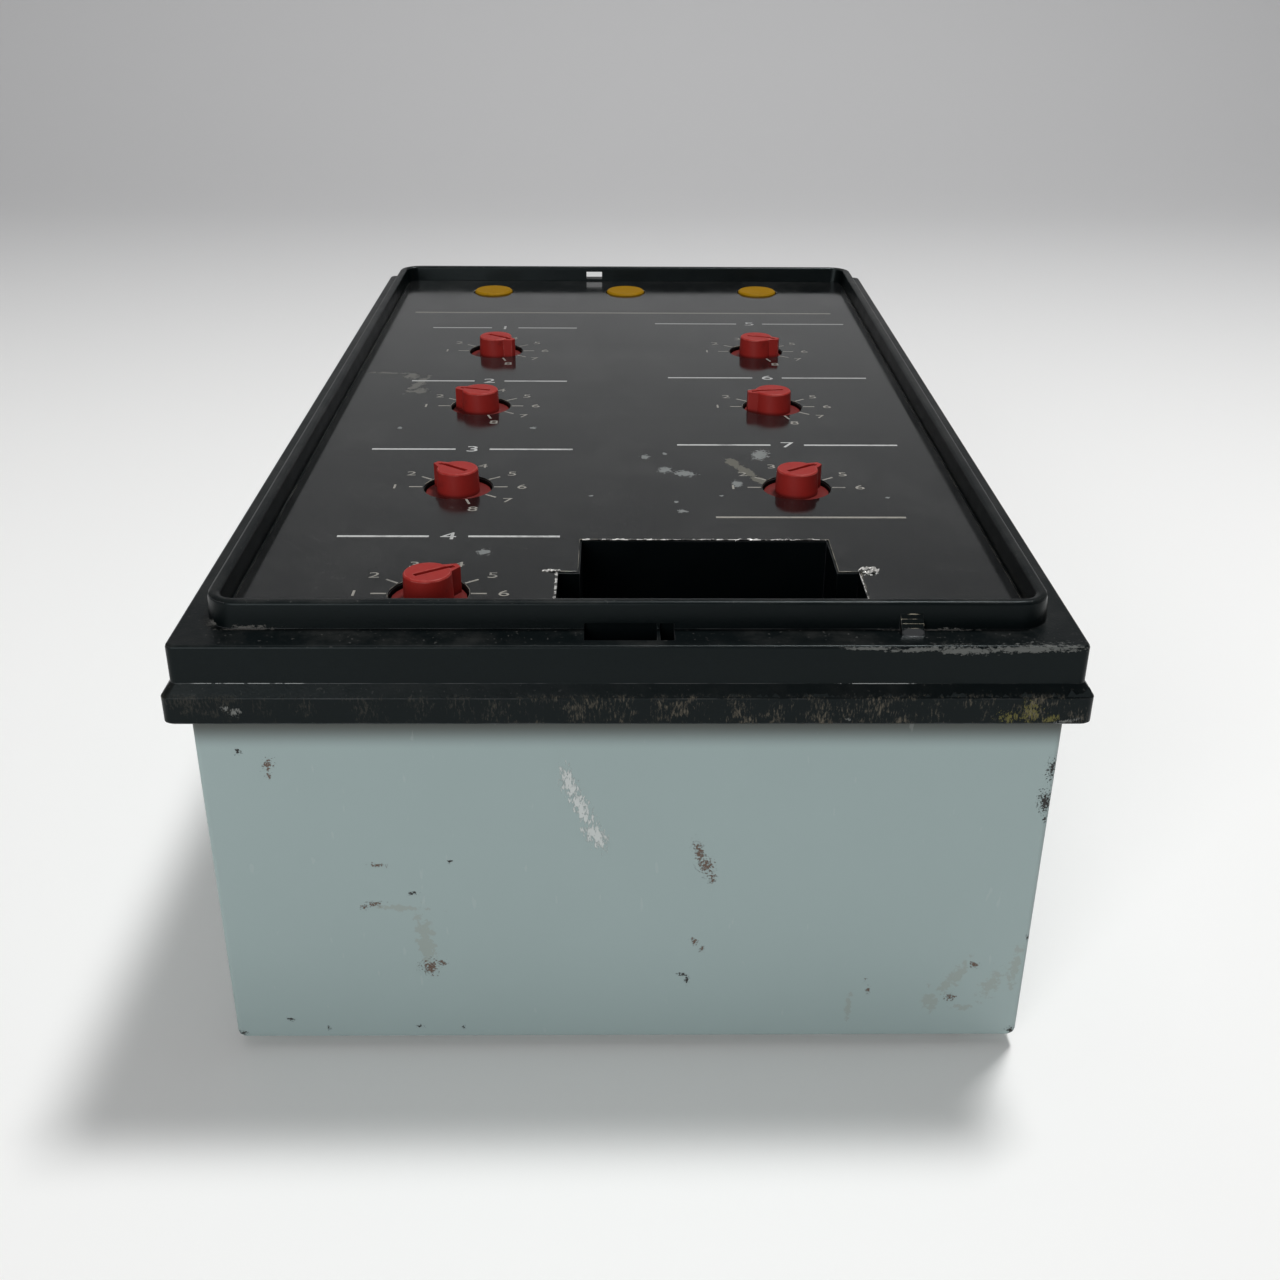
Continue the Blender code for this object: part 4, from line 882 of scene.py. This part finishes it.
@dataclass(frozen=True)
class LaminatedCore(Finish):
    """Stacked core sheets under varnish."""

    name: str = "varnished_core"
    steel: Colour = (0.16, 0.155, 0.15)
    seam: Colour = (0.03, 0.028, 0.026)
    sheets: float = 1250.0
    depth: float = 0.00006

    def dress(self) -> None:
        """Draw a seam between each two sheets."""
        feeds = {"Vector": self.place, "Scale": self.sheets, "Distortion": 0.6, "Detail": 2.0}
        wave = self.node("ShaderNodeTexWave", feeds, wave_type="BANDS", bands_direction="Y").outputs["Fac"]
        seam = self.ramp(wave, 0.1, 0.35, 1.0, 0.0)
        colour = self.layered(self.mottled(self.steel, 140.0, 0.35), (seam, 1.0, self.seam))
        rough, _ = self.grain(900.0, 0.45, 0.2)
        self.shade(Base_Color=colour, Metallic=0.5, Roughness=rough)
        self.bump(wave, self.depth, 0.6)


@dataclass(frozen=True)
class StagePaint(Finish):
    """Pale matt paint for the stage, a little greyer towards the back and up the wall."""

    name: str = "pale_stage"
    floor: Colour = (0.91, 0.91, 0.90)
    back: Colour = (0.64, 0.64, 0.645)
    wall: Colour = (0.45, 0.45, 0.455)
    back_end: float = 0.8
    wall_start: float = 0.05
    wall_end: float = 0.65

    def dress(self) -> None:
        """Fade the floor into the back and the back into the wall."""
        back = self.along("Y", 0.0, self.back_end)
        wall = self.along("Z", self.wall_start, self.wall_end)
        colour = self.layered(self.floor, (back, 1.0, self.back), (wall, 1.0, self.wall))
        self.shade(Base_Color=colour, Roughness=0.85, Specular_IOR_Level=0.2)


class Finishes(Enum):
    """The finishes that the pieces are dressed in."""

    CAN = CanPaint()
    MOULDING = BlackMoulding()
    FILM = LegendFilm()
    RED = DialRed(
        "satin_red",
        colour=(0.295, 0.020, 0.016),
        rubbed=(0.40, 0.080, 0.068),
        rough=0.46,
        # The grime colour is also the skirts' painted shade below the panel.
        grime=(0.075, 0.010, 0.009),
        dusty=0.03,
        sheen=0.18,
    )
    YELLOW = SatinPlastic(
        "satin_yellow",
        colour=(0.255, 0.133, 0.0015),
        rubbed=(0.32, 0.19, 0.015),
        rough=0.58,
        grime=(0.14, 0.08, 0.008),
        dusty=0.02,
        sheen=0.06,
    )
    SWITCH = SatinPlastic("dark_switch_plastic", (0.045, 0.045, 0.052), (0.09, 0.09, 0.10), 0.50)
    SOCKET = SatinPlastic("black_socket_plastic", (0.022, 0.022, 0.023), (0.06, 0.06, 0.06), 0.48)
    SLEEVE = SatinPlastic("blue_sleeve", (0.018, 0.035, 0.110), (0.05, 0.08, 0.18), 0.34)
    RIBBON = SatinPlastic("grey_ribbon", (0.36, 0.36, 0.38), (0.5, 0.5, 0.5), 0.50, (0.2, 0.2, 0.2))
    BRASS = PlainMetal("turned_brass", (0.68, 0.47, 0.19), (0.34, 0.21, 0.09))
    STEEL = PlainMetal("plated_steel", (0.58, 0.58, 0.56), (0.33, 0.31, 0.27))
    GILT = PlainMetal("gilt_contact", (0.80, 0.60, 0.26), (0.45, 0.32, 0.14), 0.26)
    FOIL = TornFoilFinish("torn_foil", (0.74, 0.73, 0.70), (0.030, 0.030, 0.029), 0.47)
    BRIGHT_FOIL = TornFoilFinish("bright_foil", (0.66, 0.65, 0.62), (0.05, 0.05, 0.047), 0.45)
    INK = PrintInk()
    BOLD_INK = PrintInk("bold_ink", (0.48, 0.49, 0.48), (0.15, 0.15, 0.15))
    BOARD = BoardMask()
    CORE = LaminatedCore()
    STAGE = StagePaint()

    def material(self) -> bpy.types.Material:
        """The finish's material."""
        return self.value.material()


def link(name: str, data: bpy.types.ID) -> bpy.types.Object:
    """Add an object to the scene.

    Args:
        name: Its name.
        data: Its mesh, curve, light or camera.

    Returns:
        The object.
    """
    made = bpy.data.objects.new(name, data)
    bpy.context.scene.collection.objects.link(made)
    return made


def link_mesh(name: str, shape: Mesh) -> bpy.types.Object:
    """Add a mesh to the scene.

    Args:
        name: Its name.
        shape: The mesh, in place. It is freed.

    Returns:
        The object.
    """
    data = bpy.data.meshes.new(name)
    shape.to_mesh(data)
    shape.free()
    return link(name, data)


def evaluated(thing: bpy.types.Object) -> bpy.types.Mesh:
    """The mesh that an object's curve or modifiers end in.

    Args:
        thing: The object.

    Returns:
        A mesh of its own.
    """
    bpy.context.view_layer.update()
    graph = bpy.context.evaluated_depsgraph_get()
    return bpy.data.meshes.new_from_object(thing.evaluated_get(graph))


def add_piece(name: str, shape: Mesh, finish: Finishes, body: str = CASE) -> bpy.types.Object:
    """Turn a bmesh into a piece that rides on a body.

    Args:
        name: The piece's name.
        shape: The mesh, in place. It is freed.
        finish: What the piece is dressed in.
        body: The body that carries the piece.

    Returns:
        The piece.
    """
    made = link_mesh(name, shape)
    made.data.materials.append(finish.material())
    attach(made, body)
    LOG.info("%s: %d faces, rides on %s", name, len(made.data.polygons), body)
    return made


def block(shape: Mesh, size: Point, centre: Point, turn: float = 0.0) -> None:
    """Add a block to a mesh: its size, its middle and its turn about Z, in radians."""
    place = Matrix.Translation(centre) @ Matrix.Rotation(turn, 4, "Z") @ Matrix.Diagonal((*size, 1.0))
    bmesh.ops.create_cube(shape, size=1.0, matrix=place)


def thicken(shape: Mesh, thickness: float) -> None:
    """Turn a sheet into a thin closed solid."""
    bmesh.ops.solidify(shape, geom=shape.faces, thickness=thickness)
    bmesh.ops.recalc_face_normals(shape, faces=shape.faces)


@dataclass(frozen=True)
class Softening:
    """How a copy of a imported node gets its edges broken, and where that is marked."""

    width: float
    limit: float = 38.0
    segments: int = 2
    merge: float = 0.000001
    crease: float = 50.0

    def copy(self, node: str) -> Mesh:
        """A merged copy of a node's mesh with its sharp edges softened.

        Args:
            node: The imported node's name.

        Returns:
            The mesh, whose softened edges are marked.
        """
        shape = bmesh.new()
        shape.from_mesh(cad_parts[node].data)
        bmesh.ops.remove_doubles(shape, verts=shape.verts, dist=self.merge)
        mark = shape.faces.layers.float.new(SOFT_EDGE)
        sharp = [e for e in shape.edges if e.is_manifold and e.calc_face_angle(0.0) > math.radians(self.limit)]
        made = bmesh.ops.bevel(
            shape,
            geom=sharp,
            offset=self.width,
            offset_type="OFFSET",
            segments=self.segments,
            profile=0.5,
            affect="EDGES",
            material=-1,
            clamp_overlap=True,
        )
        for face in made["faces"]:
            face[mark] = 1.0
        bmesh.ops.remove_doubles(shape, verts=shape.verts, dist=self.merge)
        for face in shape.faces:
            face.smooth = True
        return shape

    def piece(self, name: str, node: str, finish: Finishes, slot: str, body: str = CASE) -> bpy.types.Object:
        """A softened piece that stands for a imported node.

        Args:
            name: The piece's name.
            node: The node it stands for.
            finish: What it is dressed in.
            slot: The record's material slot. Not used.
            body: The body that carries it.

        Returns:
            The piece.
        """
        made = add_piece(name, self.copy(node), finish, body)
        made.data.set_sharp_from_angle(angle=math.radians(self.crease))
        even = made.modifiers.new("even_normals", "WEIGHTED_NORMAL")
        even.keep_sharp = True
        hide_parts(node)
        return made


@dataclass
class Casing:
    """The painted can and the black front that closes it."""

    can_edge: Softening = Softening(0.00025, 33.0)
    front_edge: Softening = Softening(0.00018, 33.0)

    def build(self) -> None:
        """Soften and dress the two shells."""
        self.can_edge.piece("can_shell", "enclosure_can", Finishes.CAN, "can_paint")
        self.front_edge.piece("front_shell", "front_moulding", Finishes.MOULDING, "black_moulding")


@dataclass
class BandFlash:
    """Torn flash that stands up along the band's near top edge, higher to the right."""

    left: float = -0.030
    right: float = 0.0694
    row: float = -0.12180
    foot: float = 0.0702
    least: float = 0.0003
    rise: float = 0.0013
    left_share: float = 0.45
    lip: float = 0.0012
    lip_from: float = 0.96
    lean: float = 0.00008
    thickness: float = 0.00008
    steps: int = 230
    seed: int = 11

    def build(self) -> None:
        """Stand a ragged strip on the edge, with a lip at its right end."""
        dice = random.Random(self.seed)
        shape = bmesh.new()
        bmesh.ops.create_grid(shape, x_segments=self.steps, y_segments=1, size=0.5)
        for vert in shape.verts:
            share = vert.co.x + 0.5
            up = vert.co.y + 0.5
            torn = dice.random() ** 2 * (self.left_share + (1.0 - self.left_share) * share)
            vert.co.x = self.left + (self.right - self.left) * share
            vert.co.y = self.row + self.lean * dice.random() * up
            lip = self.lip * max(0.0, share - self.lip_from) / (1.0 - self.lip_from)
            vert.co.z = self.foot + up * (self.least + self.rise * torn + lip)
        thicken(shape, self.thickness)
        add_piece("band_flash", shape, Finishes.MOULDING)


@dataclass
class Dial:
    """One setting dial: its number, its heading's ends and row, and how many settings it has."""

    number: int
    heading_left: float
    heading_right: float
    heading_row: float
    settings: int = 8

    @property
    def node(self) -> str:
        """The dial's node, which is also its body."""
        return f"dial_{self.number}"

    def centre(self) -> Vector:
        """The dial's axis, from the switch that it turns."""
        low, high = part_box(f"rotary_switch_{self.number}")
        return (low + high) / 2


@dataclass
class DialSet:
    """The seven red setting dials."""

    dials: tuple[Dial, ...]
    edge: Softening = Softening(0.00016, 30.0)

    def build(self) -> None:
        """Soften and dress each dial on its own body."""
        for dial in self.dials:
            self.edge.piece(f"knob_{dial.number}", dial.node, Finishes.RED, "dial_red", dial.node)


@dataclass
class TargetSet:
    """The three yellow trip targets."""

    count: int = 3
    edge: Softening = Softening(0.00012, 30.0)

    def build(self) -> None:
        """Soften and dress each target on its own body."""
        for number in range(1, self.count + 1):
            node = f"trip_target_{number}"
            self.edge.piece(f"flag_{number}", node, Finishes.YELLOW, "target_yellow", node)


@dataclass
class LegendPanel:
    """The film on the panel and its printed scales, headings and rules."""

    dials: tuple[Dial, ...]
    edge: Softening = Softening(0.00007, 60.0, 1)
    ink: float = 0.00003
    tick_start: float = 0.0067
    tick_end: float = 0.0092
    tick_width: float = 0.00042
    tick_step: float = 36.0
    first_tick: float = 180.0
    number_radius: float = 0.0119
    number_height: float = 0.0021
    number_widen: float = 1.35
    heading_height: float = 0.0031
    heading_gap: float = 0.0034
    heading_rule: float = 0.00075
    cap_share: float = 0.70
    rule_left: float = -0.0560
    rule_right: float = 0.0548
    rule_row: float = 0.0750
    rule_width: float = 0.0011
    note_left: float = 0.0157
    note_right: float = 0.0497
    note_row: float = -0.0708
    level: float = field(init=False)

    def build(self) -> None:
        """Dress the film and print on it."""
        self.edge.piece("legend_film", "legend_plate", Finishes.FILM, "legend_film")
        self.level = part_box("legend_plate")[1].z
        for dial in self.dials:
            self.scale(dial)
            self.heading(dial)
        self.rules()

    def scale(self, dial: Dial) -> None:
        """Print a tick and a plain number at each setting of a dial.

        Args:
            dial: The dial.
        """
        shape = bmesh.new()
        middle = dial.centre()
        reach = (self.tick_start + self.tick_end) / 2
        size = (self.tick_end - self.tick_start, self.tick_width, self.ink)
        for setting in range(dial.settings):
            angle = math.radians(self.first_tick - setting * self.tick_step)
            way = Vector((math.cos(angle), math.sin(angle), 0))
            spot = middle + way * reach
            block(shape, size, (spot.x, spot.y, self.level), angle)
            spot = middle + way * self.number_radius
            self.write(shape, str(setting + 1), spot.x, spot.y, self.number_height)
        add_piece(f"dial_scale_{dial.number}", shape, Finishes.INK)

    def heading(self, dial: Dial) -> None:
        """Print a dial's own number with a plain rule to each side.

        Args:
            dial: The dial.
        """
        shape = bmesh.new()
        row = dial.heading_row
        middle = (dial.heading_left + dial.heading_right) / 2
        self.write(shape, str(dial.number), middle, row, self.heading_height)
        self.rule(shape, dial.heading_left, middle - self.heading_gap, row, self.heading_rule)
        self.rule(shape, middle + self.heading_gap, dial.heading_right, row, self.heading_rule)
        add_piece(f"dial_heading_{dial.number}", shape, Finishes.BOLD_INK)

    def rules(self) -> None:
        """Print the plain rule under the targets and the thin one below the right column."""
        shape = bmesh.new()
        self.rule(shape, self.rule_left, self.rule_right, self.rule_row, self.rule_width)
        self.rule(shape, self.note_left, self.note_right, self.note_row, self.heading_rule)
        add_piece("panel_rules", shape, Finishes.INK)

    def rule(self, shape: Mesh, start: float, end: float, row: float, width: float) -> None:
        """Add a straight printed line across the panel."""
        block(shape, (end - start, width, self.ink), ((start + end) / 2, row, self.level))

    def write(self, shape: Mesh, digits: str, x: float, y: float, height: float) -> None:
        """Add a printed number.

        Args:
            shape: The mesh that takes it.
            digits: The number.
            x: Its middle across.
            y: Its middle along.
            height: Its height.
        """
        curve = bpy.data.curves.new("digits", "FONT")
        curve.body = digits
        curve.size = height / self.cap_share
        curve.align_x = "CENTER"
        curve.align_y = "CENTER"
        curve.extrude = self.ink / 2
        holder = link("digits", curve)
        data = evaluated(holder)
        bpy.data.objects.remove(holder, do_unlink=True)
        data.transform(Matrix.Translation((x, y, self.level)) @ Matrix.Diagonal((self.number_widen, 1, 1, 1)))
        shape.from_mesh(data)
        bpy.data.meshes.remove(data)
        bmesh.ops.beautify_fill(shape, faces=shape.faces, edges=shape.edges, method="AREA")


@dataclass(frozen=True)
class FoilStrip:
    """A torn strip: its name, where its edge starts and ends, its mean width and the points along it."""

    name: str
    start: Flat
    end: Flat
    width: float
    steps: int


@dataclass(frozen=True)
class FoilFlake:
    """A flake: its name, its middle on the panel, its length across, its width along and how far it stands up."""

    name: str
    centre: Flat
    length: float
    width: float
    rise: float


@dataclass
class TornFoil:
    """Foil that shows where the film is torn along the well."""

    strips: tuple[FoilStrip, ...] = (
        FoilStrip("foil_far", (-0.0079, -0.08125), (0.0341, -0.08125), 0.00075, 90),
        FoilStrip("foil_left", (-0.01155, -0.1090), (-0.01155, -0.09475), 0.0006, 26),
        FoilStrip("foil_right", (0.03775, -0.09475), (0.03775, -0.1090), 0.0002, 26),
    )
    flakes: tuple[FoilFlake, ...] = (
        FoilFlake("foil_flake_right", (0.03935, -0.09455), 0.0034, 0.0015, 0.0009),
        FoilFlake("foil_flake_left", (-0.01265, -0.09445), 0.0030, 0.0008, 0.0004),
    )
    thickness: float = 0.00005
    strip_rows: int = 2
    narrowest: float = 0.35
    spread: float = 1.1
    sink: float = 0.00004
    curl: float = 0.00012
    held: float = 0.7
    flake_columns: int = 10
    flake_rows: int = 5
    flake_taper: float = 0.75
    flake_point: float = 1.5
    flake_bend: float = 0.6
    crumple: float = 0.9
    crumple_down: float = 0.4
    crumple_shift: Flat = (0.08, 0.15)
    seed: int = 7
    level: float = field(init=False)
    dice: random.Random = field(init=False)

    def build(self) -> None:
        """Lay a torn strip along the far edge and the sides, and a flake at each step."""
        self.dice = random.Random(self.seed)
        self.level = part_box("legend_plate")[1].z
        for strip in self.strips:
            self.lay(strip)
        for flake in self.flakes:
            self.raise_up(flake)

    def lay(self, strip: FoilStrip) -> None:
        """Lay a ragged strip on the film beside a straight edge, to the left of its run.

        Args:
            strip: The strip.
        """
        shape = bmesh.new()
        bmesh.ops.create_grid(shape, x_segments=strip.steps, y_segments=self.strip_rows, size=0.5)
        start = Vector((*strip.start, 0))
        run = Vector((*strip.end, 0)) - start
        along = run.normalized()
        aside = Vector((-along.y, along.x, 0))
        for vert in shape.verts:
            share = vert.co.x + 0.5
            out = vert.co.y + 0.5
            ragged = strip.width * (self.narrowest + self.spread * self.dice.random()) * out
            lift = self.level - self.sink + self.curl * self.dice.random() * (1.0 - self.held * out)
            spot = start + run * share + aside * ragged
            vert.co = (spot.x, spot.y, lift)
        thicken(shape, self.thickness)
        add_piece(strip.name, shape, Finishes.FOIL)

    def raise_up(self, flake: FoilFlake) -> None:
        """Stand a crumpled flake up from the film.

        Args:
            flake: The flake.
        """
        shape = bmesh.new()
        bmesh.ops.create_grid(shape, x_segments=self.flake_columns, y_segments=self.flake_rows, size=0.5)
        for vert in shape.verts:
            across = vert.co.x * 2
            along = vert.co.y * 2
            taper = 1.0 - self.flake_taper * abs(across) ** self.flake_point
            crumple = (self.dice.random() - self.crumple_down) * self.crumple
            arch = (1.0 - along * along * self.flake_bend) * taper * self.flake_bend
            x_share = across / 2 + crumple * self.crumple_shift[0]
            y_share = along * taper / 2 + crumple * self.crumple_shift[1]
            vert.co.x = flake.centre[0] + flake.length * x_share
            vert.co.y = flake.centre[1] + flake.width * y_share
            vert.co.z = self.level + max(0.0, arch + crumple) * flake.rise
        thicken(shape, self.thickness)
        add_piece(flake.name, shape, Finishes.BRIGHT_FOIL)


@dataclass
class PlugWell:
    """The contact block in the well and its leaf contacts."""

    slots: int = 6
    pitch: float = 0.0034
    slot_depth: float = 0.0025
    leaf: float = 0.00035
    leaf_width: float = 0.00132
    leaf_gap: float = 0.0010
    leaf_short: float = 0.0006
    leaf_sink: float = 0.0001
    leaf_edge: float = 0.0001
    edge: Softening = Softening(0.0002)

    def build(self) -> None:
        """Soften the block and stand two leaves in each of its slots."""
        low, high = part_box("plug_socket")
        self.edge.piece("plug_block", "plug_socket", Finishes.SOCKET, "socket_body")
        middle = (low + high) / 2
        shape = bmesh.new()
        height = self.slot_depth - self.leaf_short
        z = high.z - self.slot_depth + height / 2 - self.leaf_sink
        for slot in range(self.slots):
            x = middle.x + (slot - (self.slots - 1) / 2) * self.pitch
            for side in (-1, 1):
                y = middle.y + side * (self.leaf_gap + self.leaf) / 2
                block(shape, (self.leaf_width, self.leaf, height), (x, y, z))
        bmesh.ops.bevel(
            shape, geom=shape.edges, offset=self.leaf_edge, segments=2, profile=0.5, affect="EDGES", material=-1
        )
        add_piece("plug_leaves", shape, Finishes.GILT)


@dataclass
class RearEnd:
    """What shows at the can's back: connector contacts, guide bushes and screw heads."""

    contacts: int = 10
    pitch: float = 0.0050
    row_pitch: float = 0.0050
    tip_radius: float = 0.00027
    pin_radius: float = 0.00045
    pin_sides: int = 10
    pin_start: float = 0.0007
    pin_length: float = 0.0033
    recess_reach: float = 0.0023
    recess_width: float = 0.0009
    recess_depth: float = 0.0011
    bushes: int = 2
    screws: int = 4
    edge: Softening = Softening(0.0002)

    def build(self) -> None:
        """Build the contacts and the screws, and soften the connector and the bushes."""
        self.edge.piece("connector_block", "rear_connector", Finishes.SOCKET, "socket_body")
        for number in range(1, self.bushes + 1):
            self.edge.piece(f"guide_{number}", f"guide_bush_{number}", Finishes.BRASS, "brass")
        self.pins()
        for number in range(1, self.screws + 1):
            self.screw(number)

    def pins(self) -> None:
        """Stand a round pin in each pocket of the connector."""
        low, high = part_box("rear_connector")
        middle = (low + high) / 2
        shape = bmesh.new()
        for column in range(self.contacts):
            x = middle.x + (column - (self.contacts - 1) / 2) * self.pitch
            for side in (-1, 1):
                spot = (x, middle.y + side * self.row_pitch / 2, low.z + self.pin_start + self.pin_length / 2)
                bmesh.ops.create_cone(
                    shape,
                    cap_ends=True,
                    segments=self.pin_sides,
                    radius1=self.tip_radius,
                    radius2=self.pin_radius,
                    depth=self.pin_length,
                    matrix=Matrix.Translation(spot),
                )
        add_piece("connector_pins", shape, Finishes.GILT)

    def screw(self, number: int) -> None:
        """Cut a cross recess into a case screw's head.

        Args:
            number: The screw's number.
        """
        node = f"case_screw_{number}"
        made = self.edge.piece(f"cross_screw_{number}", node, Finishes.STEEL, "bright_steel")
        low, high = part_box(node)
        centre = ((low.x + high.x) / 2, (low.y + high.y) / 2, low.z)
        shape = bmesh.new()
        height = 2 * self.recess_depth
        block(shape, (2 * self.recess_reach, self.recess_width, height), centre)
        block(shape, (self.recess_width, 2 * self.recess_reach, height), centre)
        cutter = link_mesh("recess", shape)
        step = made.modifiers.new("recess", "BOOLEAN")
        step.object = cutter
        step.operation = "DIFFERENCE"
        step.solver = "EXACT"
        step.use_self = True
        cut = evaluated(made)
        made.modifiers.clear()
        made.data = cut
        bpy.data.objects.remove(cutter, do_unlink=True)


@dataclass
class Inside:
    """The pieces that the can hides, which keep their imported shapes."""

    finishes: tuple[tuple[Finishes, tuple[str, ...]], ...] = (
        (Finishes.SWITCH, ("rotary_switch", "target_coil", "processor_chip")),
        (Finishes.BOARD, ("switch_board", "main_board")),
        (Finishes.BRASS, ("board_spacer", "standoff")),
        (Finishes.STEEL, ("target_spring",)),
        (Finishes.SOCKET, ("board_header",)),
        (Finishes.CORE, ("sensing_transformer",)),
        (Finishes.SLEEVE, ("reservoir_capacitor",)),
        (Finishes.RIBBON, ("ribbon_cable",)),
    )

    def build(self) -> None:
        """Dress each hidden node."""
        for name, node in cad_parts.items():
            for finish, starts in self.finishes:
                if name.startswith(starts):
                    node.data.materials.clear()
                    node.data.materials.append(finish.material())
                    LOG.info("%s: dressed in %s", name, finish.name)


@dataclass(frozen=True)
class Lamp:
    """A soft square lamp: its name, place, side and power in watts."""

    name: str
    place: Point
    size: float
    power: float


@dataclass
class Studio:
    """The pale stage, the soft light and the camera."""

    camera_place: Point = (-0.00132, -0.31413, 0.17692)
    pitch: float = 26.67
    yaw: float = 0.851
    roll: float = 0.414
    focal_pixels: float = 1465.5
    image_pixels: float = 1280.0
    sensor: float = 36.0
    clip: Flat = (0.01, 20.0)
    world_colour: Colour = (0.12, 0.12, 0.122)
    front_row: float = -2.0
    wall_row: float = 1.10
    wall_bend: float = 0.45
    wall_height: float = 1.8
    half_width: float = 2.4
    bend_steps: int = 12
    gap: float = 0.0001
    aim: Point = (0.0, 0.0, 0.05)
    lamps: tuple[Lamp, ...] = (
        Lamp("ceiling_lamp", (0.0, 0.10, 2.00), 1.60, 5.0),
        Lamp("back_lamp", (0.22, 0.14, 1.02), 0.16, 7.2),
        Lamp("front_lamp", (-0.50, -1.30, 0.50), 0.80, 9.8),
    )

    def build(self) -> None:
        """Set the stage, the light and the camera."""
        bpy.context.scene.view_settings.view_transform = "Standard"
        self.world()
        self.stage()
        for lamp in self.lamps:
            self.hang(lamp)
        self.camera()

    def world(self) -> None:
        """A plain pale surround."""
        made = bpy.data.worlds.new("pale_surround")
        made.use_nodes = True
        made.node_tree.nodes["Background"].inputs["Color"].default_value = (*self.world_colour, 1.0)
        bpy.context.scene.world = made

    def stage(self) -> None:
        """A floor that bends up into a wall behind the object."""
        shape = bmesh.new()
        start = self.wall_row - self.wall_bend
        profile = [(self.front_row, 0.0), (start, 0.0)]
        for step in range(1, self.bend_steps + 1):
            angle = step * math.pi / 2 / self.bend_steps
            profile.append((start + self.wall_bend * math.sin(angle), self.wall_bend * (1 - math.cos(angle))))
        profile.append((self.wall_row, self.wall_height))
        points = [shape.verts.new((-self.half_width, y, z - self.gap)) for y, z in profile]
        edges = [shape.edges.new(pair) for pair in zip(points, points[1:])]
        swept = bmesh.ops.extrude_edge_only(shape, edges=edges)["geom"]
        moved = [v for v in swept if isinstance(v, bmesh.types.BMVert)]
        bmesh.ops.translate(shape, verts=moved, vec=(2 * self.half_width, 0, 0))
        bmesh.ops.recalc_face_normals(shape, faces=shape.faces)
        made = link_mesh("pale_stage", shape)
        made.data.shade_smooth()
        made.data.materials.append(Finishes.STAGE.material())
        made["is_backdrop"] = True

    def hang(self, lamp: Lamp) -> None:
        """Add a lamp that shines at the object.

        Args:
            lamp: The lamp.
        """
        data = bpy.data.lights.new(lamp.name, "AREA")
        data.size = lamp.size
        data.energy = lamp.power
        made = link(lamp.name, data)
        made.location = lamp.place
        made.rotation_euler = (Vector(self.aim) - Vector(lamp.place)).to_track_quat("-Z", "Y").to_euler()

    def camera(self) -> None:
        """The camera at the photograph's viewing angle."""
        data = bpy.data.cameras.new("photo_view")
        data.sensor_width = self.sensor
        data.lens = self.sensor * self.focal_pixels / self.image_pixels
        data.clip_start, data.clip_end = self.clip
        pitch, yaw, roll = (math.radians(value) for value in (self.pitch, self.yaw, self.roll))
        level_right = Vector((math.cos(yaw), -math.sin(yaw), 0))
        ahead = Vector((math.sin(yaw), math.cos(yaw), 0))
        forward = ahead * math.cos(pitch) - Vector((0, 0, math.sin(pitch)))
        level_up = ahead * math.sin(pitch) + Vector((0, 0, math.cos(pitch)))
        right = level_right * math.cos(roll) + level_up * math.sin(roll)
        up = level_up * math.cos(roll) - level_right * math.sin(roll)
        turn = Matrix((right, up, -forward)).transposed().to_4x4()
        made = link("photo_view", data)
        made.matrix_world = Matrix.Translation(self.camera_place) @ turn
        bpy.context.scene.camera = made


def write_sizes() -> None:
    boxes = {"cad": CAD_BOX, "visual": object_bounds()}
    rows = {name: [list(low), list(high)] for name, (low, high) in boxes.items()}


def main() -> None:
    """Build the sub-assemblies in order, then the studio."""
    logging.basicConfig(level=logging.INFO, format="%(name)s %(message)s")
    dials = (
        Dial(1, -0.0495, -0.0126, 0.0593),
        Dial(2, -0.0490, -0.0136, 0.0123),
        Dial(3, -0.0510, -0.0109, -0.0346),
        Dial(4, -0.0502, -0.0118, -0.0798, 6),
        Dial(5, 0.0076, 0.0567, 0.0639),
        Dial(6, 0.0096, 0.0554, 0.0153),
        Dial(7, 0.0101, 0.0547, -0.0317, 6),
    )
    Casing().build()
    BandFlash().build()
    LegendPanel(dials).build()
    TornFoil().build()
    DialSet(dials).build()
    TargetSet().build()
    PlugWell().build()
    RearEnd().build()
    Inside().build()
    Studio().build()
    write_sizes()


if __name__ == "__main__":
    main()
